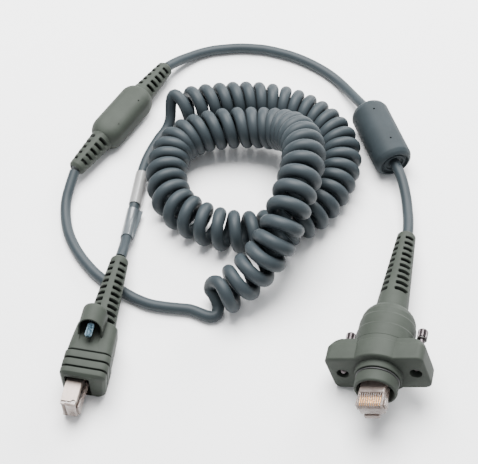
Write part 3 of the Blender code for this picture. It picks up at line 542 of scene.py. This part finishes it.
def swelling(count, first, last):
    """The cable's radius at each of count points; the curly stretch lies between points first and last."""
    radii = []
    for i in range(count):
        share = min(1.0, max(0.0, min(i - first + SWELL_STEPS, last + SWELL_STEPS - i) / SWELL_STEPS))
        along = (i - first) / (last - first)
        front = min(1.0, max(0.0, min(along - FRONT_START, FRONT_END - along) / FRONT_FADE))
        full = COIL_CABLE_R + (FRONT_CABLE_R - COIL_CABLE_R) * front
        radii.append(CABLE_R + (full - CABLE_R) * share)
    return radii


def build_cables():
    """Three cables; the first runs through the host end, the curly stretch and the tail."""
    host = flowing(HOST_ROUTE)
    loops = helix()
    tail = flowing(TAIL_ROUTE)
    first, last = len(host), len(host) + len(loops)
    line = ease([*host, *loops, *tail], [first, last])
    label = build_label(line)
    laminate = build_laminate(line)
    radii = swelling(len(line), first, last)
    cable("curly_cable", line, ("host_cord", "coil_cord", "tail_cord"), radii)
    cable("bridge_cable", flowing(BRIDGE_ROUTE), ("bridge_cord",))
    cable("terminal_cable", flowing(TERMINAL_ROUTE), ("terminal_cord",))


# --- Strain reliefs ----------------------------------------------------------------------------

SLOT_W = 1.5
SLOT_HALF_ANGLE = 29.0
SLOT_WALL = 0.45                # left round the cable at a slot's floor
RELIEF_SHOULDER = 1.3
HOST_SLOTS = (30.4, 3.35, 10)   # first slot, pitch and count
TERMINAL_SLOTS = (41.6, 3.5, 10)
CHOKE_SLOTS = (20.4, 3.6, 5)


def slots_of(form, sign=1.0):
    """Where the slots of one relief are along Y."""
    first, pitch, count = form
    return [sign * (first + pitch * i) for i in range(count)]


def relief_angles():
    """(angle, how much of a slot is there) round a relief with four rows of slots."""
    out = []
    edge = SLOT_HALF_ANGLE
    for middle in (45.0, 135.0, 225.0, 315.0):
        for offset, share in ((-edge - 3.0, 0.0), (-edge, 0.12), (-edge + 2.5, 1.0), (-14.0, 1.0),
                              (0.0, 1.0), (14.0, 1.0), (edge - 2.5, 1.0), (edge, 0.12), (edge + 3.0, 0.0)):
            out.append((middle + offset, share))
        out.append((middle + 45.0, 0.0))
    return out


def add_relief(shell, start, end, radii, slots):
    """A tapered relief from start to end, with its rows of slots and a chamfered mouth round the cable."""
    sign = 1.0 if end > start else -1.0
    span = abs(end - start) - RELIEF_SHOULDER

    def radius_at(y):
        return radii[0] + (radii[1] - radii[0]) * min(1.0, abs(y - start) / span)

    half = SLOT_W / 2
    rows = [(start, 0.0)]
    for y in slots:
        for offset, share in ((-half - 0.3, 0.0), (-half, 0.14), (-half + 0.14, 1.0), (0.0, 1.0),
                              (half - 0.14, 1.0), (half, 0.14), (half + 0.3, 0.0)):
            rows.append((y + sign * offset, share))
    rings = []
    for y, share in rows:
        radius = radius_at(y)
        bottom = CABLE_R + SLOT_WALL
        ring = []
        for angle, there in relief_angles():
            r = radius - (radius - bottom) * share * there
            ring.append((r * math.cos(math.radians(angle)), y, r * math.sin(math.radians(angle))))
        rings.append(ring)
    mouth = soften([(end - sign * RELIEF_SHOULDER * 1.6, radius_at(end)),
                    (end - sign * RELIEF_SHOULDER, radius_at(end)), (end - sign * 0.2, radii[1] - 1.0),
                    (end, radii[1] - 1.2), (end, CABLE_R + 0.15), (end - sign * 2.0, CABLE_R + 0.05)], 0.35)
    for y, radius in mouth:
        rings.append([(radius * math.cos(math.radians(a)), y, radius * math.sin(math.radians(a)))
                      for a, _ in relief_angles()])
    return shell.loft(rings)


# --- Modular plug ------------------------------------------------------------------------------

PLUG_LENGTH = 21.3
PLUG_HALF_H = 3.3
NOSE_LENGTH = 6.6
HOST_TIP = 11.5                 # how far a plug reaches past the origin of its place
TERMINAL_TIP = 18.8
HOST_PLUG_HALF_W = 5.3
TERMINAL_PLUG_HALF_W = 5.55
EAR_REACH = 1.1
SHELF_Z = 1.6
CONTACTS = 10
CONTACT_PITCH = 0.95
CONTACT_HALF_W = 0.17
RIB_HALF_W = 0.19               # the plastic ribs between the contacts
LATCH_LENGTH = 12.5
LATCH_DROP = 0.9
HOST_LATCH = (0.0, 0.8, 0.45)   # sideways, how far it hangs under the body at the nose, half thickness
TERMINAL_LATCH = (-1.1, 2.6, 1.15)


def plug_body(name, at, tip, half_w, finish, ears=0.0):
    """Clear body: a low nose with a comb of ribs between the contacts, and a full-height back."""
    back = PLUG_LENGTH - tip
    nose_end = -tip + NOSE_LENGTH
    low = (SHELF_Z - PLUG_HALF_H) / 2
    half_low = (SHELF_Z + PLUG_HALF_H) / 2
    shell = Shell()
    shell.loft([oblong(y, half_w - i, half_low - i, 0.5, z=low) for y, i in
                soften([(-tip, 0.6), (-tip + 0.6, 0.0), (nose_end + 0.5, 0.0)], 0.3)])
    shell.loft([oblong(y, half_w - i, PLUG_HALF_H - i, 0.5) for y, i in
                soften([(nose_end, 0.25), (nose_end + 0.25, 0.0), (back - 0.4, 0.0), (back, 0.3)], 0.2)])
    for i in range(CONTACTS + 1):
        x = (i - CONTACTS / 2) * CONTACT_PITCH
        shell.bar((x - RIB_HALF_W, -tip + 0.35, SHELF_Z - 0.3),
                  (x + RIB_HALF_W, nose_end + 0.2, PLUG_HALF_H - 0.35), 0.08)
    for side in (-1, 1):
        inner = side * (half_w - 0.45)
        outer = side * (half_w - 0.02)
        shell.bar((min(inner, outer), -tip + 0.1, SHELF_Z - 0.4),
                  (max(inner, outer), nose_end + 0.3, PLUG_HALF_H), 0.12)
        if ears:
            reach = side * (half_w + ears)
            shell.bar((min(outer, reach), -tip + 1.0, -1.6), (max(outer, reach), -tip + 4.4, 1.9), 0.5)
    return shell.piece(name, at, finish)


def plug_contacts(prefix, at, tip):
    """Ten gold blades, each with a rounded crown and a crimp point behind it."""
    line = soften([(-tip + 0.75, 1.95), (-tip + 0.75, 2.75), (-tip + 1.5, 3.1), (-tip + 4.6, 3.1),
                   (-tip + 5.85, 2.5), (-tip + 5.85, 1.95)], 0.5)
    count = len(line)
    for i in range(CONTACTS):
        x = (i - (CONTACTS - 1) / 2) * CONTACT_PITCH
        left = [(x - CONTACT_HALF_W, y, z) for y, z in line]
        right = [(x + CONTACT_HALF_W, y, z) for y, z in line]
        shell = Shell()
        shell.verts = left + right
        shell.faces = [tuple(range(count)), tuple(range(count, 2 * count))]
        shell.faces += [(j, (j + 1) % count, count + (j + 1) % count, count + j) for j in range(count)]
        obj = shell.piece(f"{prefix}_blade_{i + 1}", at, GOLD)
        stand_in(obj, ROOT, f"{prefix}_contact_{i + 1}")


def plug_latch(name, at, tip, form, body, node):
    """The springy lever, wide at its root and narrow at the finger end."""
    x, hang, root_half_t = form
    root_y = -tip + 0.5
    root_z = -PLUG_HALF_H - hang
    shape = soften([(0.0, 3.2, 0.7), (0.03, 3.4, 1.0), (0.2, 3.3, 0.85), (0.38, 3.1, 0.6), (0.46, 1.9, 0.55),
                    (0.94, 1.65, 0.45), (1.0, 1.5, 0.3)], 0.08)
    rings = []
    for share, half_w, thinning in shape:
        bow = math.sin(share * math.pi) * 0.2 * root_half_t
        rings.append(oblong(root_y + share * LATCH_LENGTH, half_w, root_half_t * thinning, 0.2, x,
                            root_z - share * LATCH_DROP + bow, arc=4, flat=2))
    obj = Shell().loft(rings).piece(name, at, CLEAR)
    return stand_in(obj, body, node)


# --- Captive screws ----------------------------------------------------------------------------

THREAD_LENGTH = 6.0
THREAD_PITCH = 0.8
THREAD_DEPTH = 0.3
SCREW_SIDES = 48
KNURL = 0.35
HOST_SCREW = (16.8, 28.4, 30.4)         # tip, seat of the head and top along Y
LEFT_SCREW = (0.6, 16.8, 21.0)
RIGHT_SCREW = (1.9, 18.2, 22.4)
HOST_SCREW_RADII = (1.6, 2.6)           # shank, head
FLANGE_SCREW_RADII = (1.5, 2.2)


def add_screw(name, at, x, z, spans, radii, finish, body, node, knurl=0.0):
    """A captive screw with a thread on its tip, a slot across its head and, on some, a knurled rim."""
    tip, seat, top = spans
    shank_r, head_r = radii
    profile = [(tip, shank_r - 0.75, 0.0), (tip + 0.4, shank_r - 0.25, 0.0)]
    y = tip + 0.5
    while y < tip + THREAD_LENGTH:
        profile += [(y, shank_r - THREAD_DEPTH, 0.0), (y + THREAD_PITCH / 2, shank_r, 0.0)]
        y += THREAD_PITCH
    profile += [(tip + 6.4, shank_r - 0.15, 0.0), (seat, shank_r - 0.15, 0.0)]
    profile += soften([(seat, head_r - 0.2, knurl), (seat + 0.1, head_r, knurl), (top - 0.5, head_r, knurl),
                       (top, head_r - 0.5, knurl * 0.5)], 0.2)
    rings = []
    for y, radius, sink in profile:
        ring = []
        for k in range(SCREW_SIDES):
            angle = math.radians(360 / SCREW_SIDES * k)
            here = radius - (sink if k % 4 == 0 else 0.0)
            ring.append((x + here * math.cos(angle), y, z + here * math.sin(angle)))
        rings.append(ring)
    obj = Shell().loft(rings).piece(name, at, None)
    slot = Shell()
    slot.bar((x - head_r - 1.0, top - 0.9, z - 0.4), (x + head_r + 1.0, top + 1.0, z + 0.4), 0.05)
    carve(obj, slot.piece("slot_tool", at, None))
    return stand_in(dress(obj, finish, 30.0), body, node)


# --- Host connector ----------------------------------------------------------------------------

HOOD_X = -1.3
HOOD_Z = 12.4
HOOD_R = 5.3
RIB_YS = (3.3, 7.3, 11.3)
RIB_GAP = 0.85
HOST_DRAFT = 1.9                # how far the right side leans in towards the bottom
HOST_HALF_W = 10.3
HOST_HALF_H = 9.6
HOST_RELIEF = (27.0, 65.4)
HOST_RELIEF_RADII = (6.6, 4.1)


def host_block():
    """The ribbed block: y, half width, half height and corner radius along it."""
    line = [(0.0, 9.0, 8.3, 2.6), (1.0, 10.2, 9.5, 3.4)]
    for y in RIB_YS:
        line += [(y, HOST_HALF_W, HOST_HALF_H, 3.4), (y + 0.1, HOST_HALF_W - 1.0, HOST_HALF_H - 1.0, 3.0),
                 (y + 0.7, HOST_HALF_W - 1.0, HOST_HALF_H - 1.0, 3.0)]
        if y != RIB_YS[-1]:
            line.append((y + RIB_GAP, HOST_HALF_W, HOST_HALF_H, 3.4))
    line += [(12.2, 9.9, 9.3, 3.4), (20.0, 9.6, 9.0, 4.0), (26.6, 9.2, 8.4, 4.6), (28.0, 8.3, 7.8, 5.6),
             (28.8, 6.6, 6.6, 6.4), (29.0, 5.0, 5.0, 4.8)]
    rings = []
    for y, half_w, half_h, corner in soften(line, 0.25):
        rings.append([(x - HOST_DRAFT * (x + HOST_HALF_W) / (2 * HOST_HALF_W)
                       * (HOST_HALF_H - z) / (2 * HOST_HALF_H), y, z)
                      for x, y, z in oblong(y, half_w, half_h, corner)])
    return rings


def host_hood():
    """The half barrel over the retention screw; its front edge leans back towards the cable."""
    rings = []
    for y, radius, lean in soften([(19.3, HOOD_R, 0.38), (29.4, HOOD_R, 0.0), (30.8, HOOD_R - 0.5, 0.0),
                                   (31.2, HOOD_R - 1.8, 0.0)], 0.9, 5):
        ring = oblong(0.0, radius, (HOOD_Z + radius - 4.0) / 2, radius, HOOD_X, (HOOD_Z + radius + 4.0) / 2)
        rings.append([(x, y + lean * (z - 9.5), z) for x, _, z in ring])
    return rings


def build_host_moulding(at):
    """The block with its relief and hood, the plug's pocket and the screw's opening."""
    body = Shell().loft(host_block()).piece("host_moulding", at, None)
    relief = add_relief(Shell(), *HOST_RELIEF, HOST_RELIEF_RADII, slots_of(HOST_SLOTS))
    carve(body, relief.piece("relief_tool", at, None), "UNION")
    carve(body, Shell().loft(host_hood()).piece("hood_tool", at, None), "UNION")
    pocket = Shell().loft([oblong(y, 5.3, 7.1, 1.0, -2.7, -1.1) for y in (-1.0, 12.0)])
    carve(body, pocket.piece("pocket_tool", at, None))
    opening = Shell().loft([oblong(y, 4.75, 4.4, 4.4, HOOD_X, 12.75) for y in (17.9, 26.0)])
    carve(body, opening.piece("opening_tool", at, None))
    trough = Shell().loft([oblong(y, 4.6, (12.6 - low) / 2, 0.9, HOOD_X, (12.6 + low) / 2)
                           for y, low in ((15.2, 9.3), (17.0, 8.75), (19.5, 8.38), (25.9, 8.38))])
    carve(body, trough.piece("trough_tool", at, None))
    rear = Shell().lathe([(25.5, 2.1), (26.2, 2.1), (26.2, 3.2), (32.0, 3.2)], 40, HOOD_X, HOOD_Z)
    carve(body, rear.piece("rear_tool", at, None))
    stand_in(dress(body, MOULDING), ROOT, "host_overmould")


def build_host():
    """The lower left connector; its plug lies on its side."""
    at = place(HOST_PLACE, HOST_TURN)
    build_host_moulding(at)
    plug_at = inner_place(at, HOST_PLUG, -90.0)
    plug = plug_body("host_plug", plug_at, HOST_TIP, HOST_PLUG_HALF_W, SMOKED)
    stand_in(plug, ROOT, "host_plug_body")
    plug_contacts("host", plug_at, HOST_TIP)
    plug_latch("host_lever", plug_at, HOST_TIP, HOST_LATCH, "host_latch", "host_plug_latch")
    build_shield(plug_at)
    add_screw("host_retention_screw", at, HOOD_X, HOOD_Z, HOST_SCREW, HOST_SCREW_RADII, ZINC,
              "host_thumbscrew", "host_screw")


SHIELD_HALF_W = 5.6
SHIELD_WALL = 0.25
SHIELD_BOTTOM = -3.6
NOTCH_R = 1.15


def build_shield(at):
    """Sheet channel with bent corners, open over the contacts and, near the nose, over the latch."""
    wide, low, top = SHIELD_HALF_W, SHIELD_BOTTOM, PLUG_HALF_H
    outline = soften([(wide, top), (wide, low), (-wide, low), (-wide, top)], 0.5, 4)
    wide, low = wide + SHIELD_WALL, low - SHIELD_WALL
    outer = soften([(wide, top), (wide, low), (-wide, low), (-wide, top)], 0.75, 4)
    section = [*outline, *reversed(outer)]
    shell = Shell().loft([[(x, y, z) for x, z in section] for y in (-9.9, -9.7, 9.7, 9.8)])
    obj = shell.piece("shield_channel", at, None)
    under = Shell().bar((-4.9, -12.0, -5.0), (4.9, 4.0, -3.2), 0.6)
    carve(obj, under.piece("under_tool", at, None))
    notch = Shell().lathe([(-8.0, NOTCH_R), (8.0, NOTCH_R)], 28)
    turned = inner_place(at, (0.0, -10.1, -2.1)) @ Matrix.Rotation(math.radians(90), 4, "Z")
    carve(obj, notch.piece("notch_tool", turned, None))
    stand_in(dress(obj, SHIELD, 30.0), ROOT, "host_plug_shield")


# --- Terminal connector ------------------------------------------------------------------------

SCREW_X = 15.9
FLANGE_HALF_W = 21.4
FLANGE_HALF_H = 10.4
FLANGE_X = -0.5
BARREL_R = 13.3
BOOT_R = 12.95
COLLAR_R = 9.7
COLLAR_FRONT_Y = -9.4
GROOVE_HALF_W = 0.55
GROOVE_R = 8.6
BORE_R = 7.8
SEAL_Y = -3.6
SEAL_R = 9.05
SEAL_HALF_T = 0.4
SEAL_SECTIONS = 72
SEAL_SIDES = 14
BOOT_RELIEF = (31.0, 78.0)
BOOT_RELIEF_RADII = (7.4, 4.3)
INSERT_YS = (-4.0, -3.8, -3.5, -1.0, 2.0, 4.6)


def build_flange(at):
    """The two-screw plate with its barrel, collar, seal groove, bore and screw holes."""
    plate = [oblong(y, FLANGE_HALF_W - i, FLANGE_HALF_H - min(i, 0.7), 3.0, FLANGE_X, arc=10) for y, i in
             soften([(0.0, 0.7), (0.5, 0.0), (7.6, 0.0), (9.4, 0.7), (10.6, 1.9), (11.2, 3.4)], 0.4)]
    body = Shell().loft(plate).piece("flange_moulding", at, None)
    front = SEAL_Y - GROOVE_HALF_W
    back = SEAL_Y + GROOVE_HALF_W
    profile = soften([(COLLAR_FRONT_Y, BORE_R + 0.2), (COLLAR_FRONT_Y, 8.7), (COLLAR_FRONT_Y + 0.5, 9.2),
                      (front, 9.3), (front, GROOVE_R), (back, GROOVE_R), (back, COLLAR_R + 0.4),
                      (0.1, COLLAR_R + 0.5), (0.1, BARREL_R - 0.6), (0.6, BARREL_R), (8.85, BARREL_R),
                      (9.0, BOOT_R), (11.4, BOOT_R)], 0.3)
    profile = [(COLLAR_FRONT_Y, BORE_R), *profile, (11.4, 5.0)]
    carve(body, Shell().lathe(profile, 96).piece("barrel_tool", at, None), "UNION")
    bore = Shell().lathe([(-11.0, BORE_R + 1.0), (-9.6, BORE_R + 0.4), (-8.9, BORE_R), (5.0, BORE_R),
                          (5.0, 4.4), (12.0, 4.4)], 64)
    carve(body, bore.piece("bore_tool", at, None))
    for x in (-SCREW_X, SCREW_X):
        hole = Shell().lathe([(-1.0, 3.4), (-0.06, 2.8), (0.35, 2.6), (5.2, 2.6), (5.2, 1.8), (12.0, 1.8)],
                             40, x)
        carve(body, hole.piece("hole_tool", at, None))
    stand_in(dress(body, MOULDING), ROOT, "terminal_flange")


def build_boot(at):
    """The domed boot, with two faint steps round it, and its slotted relief."""
    shell = Shell()
    shell.lathe(soften([(11.45, 6.0), (11.45, 12.8), (11.65, BOOT_R), (17.6, 12.85), (18.2, 12.5),
                        (23.6, 12.4), (24.2, 12.05), (26.8, 11.8), (28.8, 11.0), (30.6, 9.7), (31.8, 8.2),
                        (32.4, 6.8), (32.4, 3.0)], 0.4, 5), 96)
    add_relief(shell, *BOOT_RELIEF, BOOT_RELIEF_RADII, slots_of(TERMINAL_SLOTS))
    stand_in(shell.piece("boot_moulding", at, MOULDING), ROOT, "terminal_boot")


def build_insert(at):
    """The black insert round the terminal plug."""
    outer = [circle(y, r, 44) for y, r in soften([(-4.0, 7.1), (-3.7, 7.5), (4.6, 7.5)], 0.2)]
    inner = [oblong(y, 5.75, 3.65, 0.5, z=0.8, arc=6, flat=4) for y in INSERT_YS]
    obj = Shell().wall(outer, inner).piece("plug_insert", at, INSERT)
    stand_in(obj, ROOT, "terminal_plug_holder")


def build_seal(at):
    """The O-ring in the collar's groove."""
    sections = []
    for i in range(SEAL_SECTIONS):
        a = 2 * math.pi * i / SEAL_SECTIONS
        section = []
        for k in range(SEAL_SIDES):
            b = 2 * math.pi * k / SEAL_SIDES
            radius = SEAL_R + SEAL_HALF_T * math.cos(b)
            section.append((radius * math.cos(a), SEAL_Y + SEAL_HALF_T * math.sin(b), radius * math.sin(a)))
        sections.append(section)
    ring = Shell().loft([*sections, sections[0]], ends=False)
    stand_in(ring.piece("seal_ring", at, RUBBER), ROOT, "terminal_seal_ring")


def build_terminal():
    """The lower right connector, propped on its flange."""
    at = place(TERMINAL_PLACE, TERMINAL_TURN)
    build_flange(at)
    build_boot(at)
    plug_at = inner_place(at, TERMINAL_PLUG)
    plug = plug_body("terminal_plug", plug_at, TERMINAL_TIP, TERMINAL_PLUG_HALF_W, CLEAR, ears=EAR_REACH)
    stand_in(plug, ROOT, "terminal_plug_body")
    plug_contacts("terminal", plug_at, TERMINAL_TIP)
    plug_latch("terminal_lever", plug_at, TERMINAL_TIP, TERMINAL_LATCH, "terminal_latch",
               "terminal_plug_latch")
    build_insert(at)
    build_seal(at)
    for side, x, spans in (("left", -SCREW_X, LEFT_SCREW), ("right", SCREW_X, RIGHT_SCREW)):
        add_screw(f"flange_screw_{side}", at, x, 0.0, spans, FLANGE_SCREW_RADII, DARK_NICKEL,
                  f"{side}_captive_screw", f"terminal_{side}_screw", knurl=KNURL)


# --- Chokes ------------------------------------------------------------------------------------

CHOKE_RELIEF = (15.5, 39.2)
CHOKE_RELIEF_RADII = (5.9, 4.1)
LEFT_PIN_SPOTS = ((4.7, 8.3, 7.3), (5.2, -9.2, 7.2))
LEFT_PIN_OUT = (0.25, 0.0, 1.0)
LEFT_PIN_R = 0.45
RIGHT_CHOKE_R = 9.35
RIGHT_PIN_SPOTS = ((92.1, 10.2), (86.9, -9.2), (165.9, 10.4), (164.5, -9.4))    # degrees round, y
RIGHT_PIN_R = 0.5
PIN_DEPTH = 0.7


def pin_mark(obj, at, spot, out, radius):
    """A small blind hole left by a mould pin, square to the surface."""
    outward = Vector(out).normalized()
    turn = Vector((0.0, 1.0, 0.0)).rotation_difference(outward).to_matrix().to_4x4()
    where = at @ Matrix.Translation(Vector(spot) * MM) @ turn
    tool = Shell().lathe([(-PIN_DEPTH, radius * 0.8), (0.0, radius), (1.0, radius)], 20)
    carve(obj, tool.piece("pin_tool", where, None))


def build_left_choke():
    """A flattened barrel, the same at both ends: y, half width, half height and corner radius."""
    at = place(LEFT_CHOKE_PLACE, LEFT_CHOKE_TURN)
    half = soften([(0.0, 8.0, 7.4, 5.4), (12.4, 8.0, 7.4, 5.4), (14.8, 7.5, 6.9, 5.4), (16.6, 6.6, 6.1, 5.4),
                   (17.5, 5.4, 5.2, 5.0), (17.7, 4.6, 4.6, 4.5)], 1.2, 4)
    mirrored = [(-y, w, h, c) for y, w, h, c in reversed(half[1:])]
    body = Shell().loft([oblong(y, w, h, c) for y, w, h, c in [*mirrored, *half]])
    body = body.piece("left_choke_moulding", at, None)
    for sign in (-1.0, 1.0):
        start, end = (sign * y for y in CHOKE_RELIEF)
        relief = add_relief(Shell(), start, end, CHOKE_RELIEF_RADII, slots_of(CHOKE_SLOTS, sign))
        carve(body, relief.piece("relief_tool", at, None), "UNION")
    for spot in LEFT_PIN_SPOTS:
        pin_mark(body, at, spot, LEFT_PIN_OUT, LEFT_PIN_R)
    stand_in(dress(body, MOULDING), ROOT, "left_choke_overmould")


def build_right_choke():
    """A round barrel, with a ringed recess round the cable at its front end."""
    at = place(RIGHT_CHOKE_PLACE, RIGHT_CHOKE_TURN)
    profile = [(-16.9, CABLE_R + 0.1), (-16.9, 4.3), (-17.9, 4.5), (-17.9, 5.3), (-17.0, 5.5), (-17.0, 6.6),
               (-18.3, 6.8), (-18.4, 7.3), (-17.4, 8.5), (-15.6, RIGHT_CHOKE_R), (14.2, RIGHT_CHOKE_R),
               (16.2, 8.5), (17.7, 7.0), (18.3, 5.0), (18.4, CABLE_R + 0.1)]
    body = Shell().lathe(soften(profile, 0.45, 4), 96).piece("right_choke_moulding", at, None)
    for degrees, y in RIGHT_PIN_SPOTS:
        out = (math.cos(math.radians(degrees)), 0.0, math.sin(math.radians(degrees)))
        pin_mark(body, at, (RIGHT_CHOKE_R * out[0], y, RIGHT_CHOKE_R * out[2]), out, RIGHT_PIN_R)
    stand_in(dress(body, BARREL), ROOT, "right_choke_overmould")


# --- Picture -----------------------------------------------------------------------------------

CAMERA_AT = Vector((0.0, -326.6, 466.4))
CAMERA_ELEVATION = 55.0
SENSOR_WIDTH = 36.0
LENS = 91.08
FLOOR_REACH = 4.0               # metres
WORLD_COLOUR = (0.95, 0.97, 1.0, 1.0)
WORLD_STRENGTH = 0.72


def camera():
    data = bpy.data.cameras.new("camera")
    data.sensor_width = SENSOR_WIDTH
    data.lens = LENS
    data.clip_start = 0.01
    obj = bpy.data.objects.new("camera", data)
    obj.location = (CAMERA_AT - CENTRE) * MM
    obj.rotation_euler = (math.radians(90.0 - CAMERA_ELEVATION), 0.0, 0.0)
    bpy.context.collection.objects.link(obj)
    bpy.context.scene.camera = obj


def floor():
    mesh = bpy.data.meshes.new("floor")
    corners = [(-1, -1), (1, -1), (1, 1), (-1, 1)]
    mesh.from_pydata([(x * FLOOR_REACH, y * FLOOR_REACH, 0.0) for x, y in corners], [], [(0, 1, 2, 3)])
    mesh.materials.append(procedural("floor", (0.90, 0.90, 0.90), (0.93, 0.93, 0.93), 0.8, patch=3.0,
                                     grain=40.0, bump=0.0))
    obj = bpy.data.objects.new("floor", mesh)
    bpy.context.collection.objects.link(obj)


def softbox(name, at, size, power):
    """A round white light at a place in metres, aimed at the middle of the part."""
    data = bpy.data.lights.new(name, "AREA")
    data.shape = "DISK"
    data.size = size
    data.energy = power
    obj = bpy.data.objects.new(name, data)
    obj.location = at
    obj.rotation_euler = (-Vector(at)).to_track_quat("-Z", "Y").to_euler()
    bpy.context.collection.objects.link(obj)


def studio():
    floor()
    world = bpy.data.worlds.new("studio")
    world.use_nodes = True
    sky = world.node_tree.nodes["Background"]
    sky.inputs["Color"].default_value = WORLD_COLOUR
    sky.inputs["Strength"].default_value = WORLD_STRENGTH
    bpy.context.scene.world = world
    softbox("top", (-0.05, 0.40, 0.95), 0.9, 50.0)
    softbox("back", (0.55, 0.9, 0.5), 0.5, 14.0)


def finish_cad_nodes():
    """Every CAD node that still shows takes its slot's finish."""
    for part in frame["record"]["subparts"]:
        obj = frame["nodes"].get(part["node"])
        if obj is not None:
            for slot in obj.material_slots:
                slot.material = SLOT_FINISHES[part["material_slot"]]


camera()
build_cables()
build_host()
build_terminal()
build_left_choke()
build_right_choke()
finish_cad_nodes()
studio()
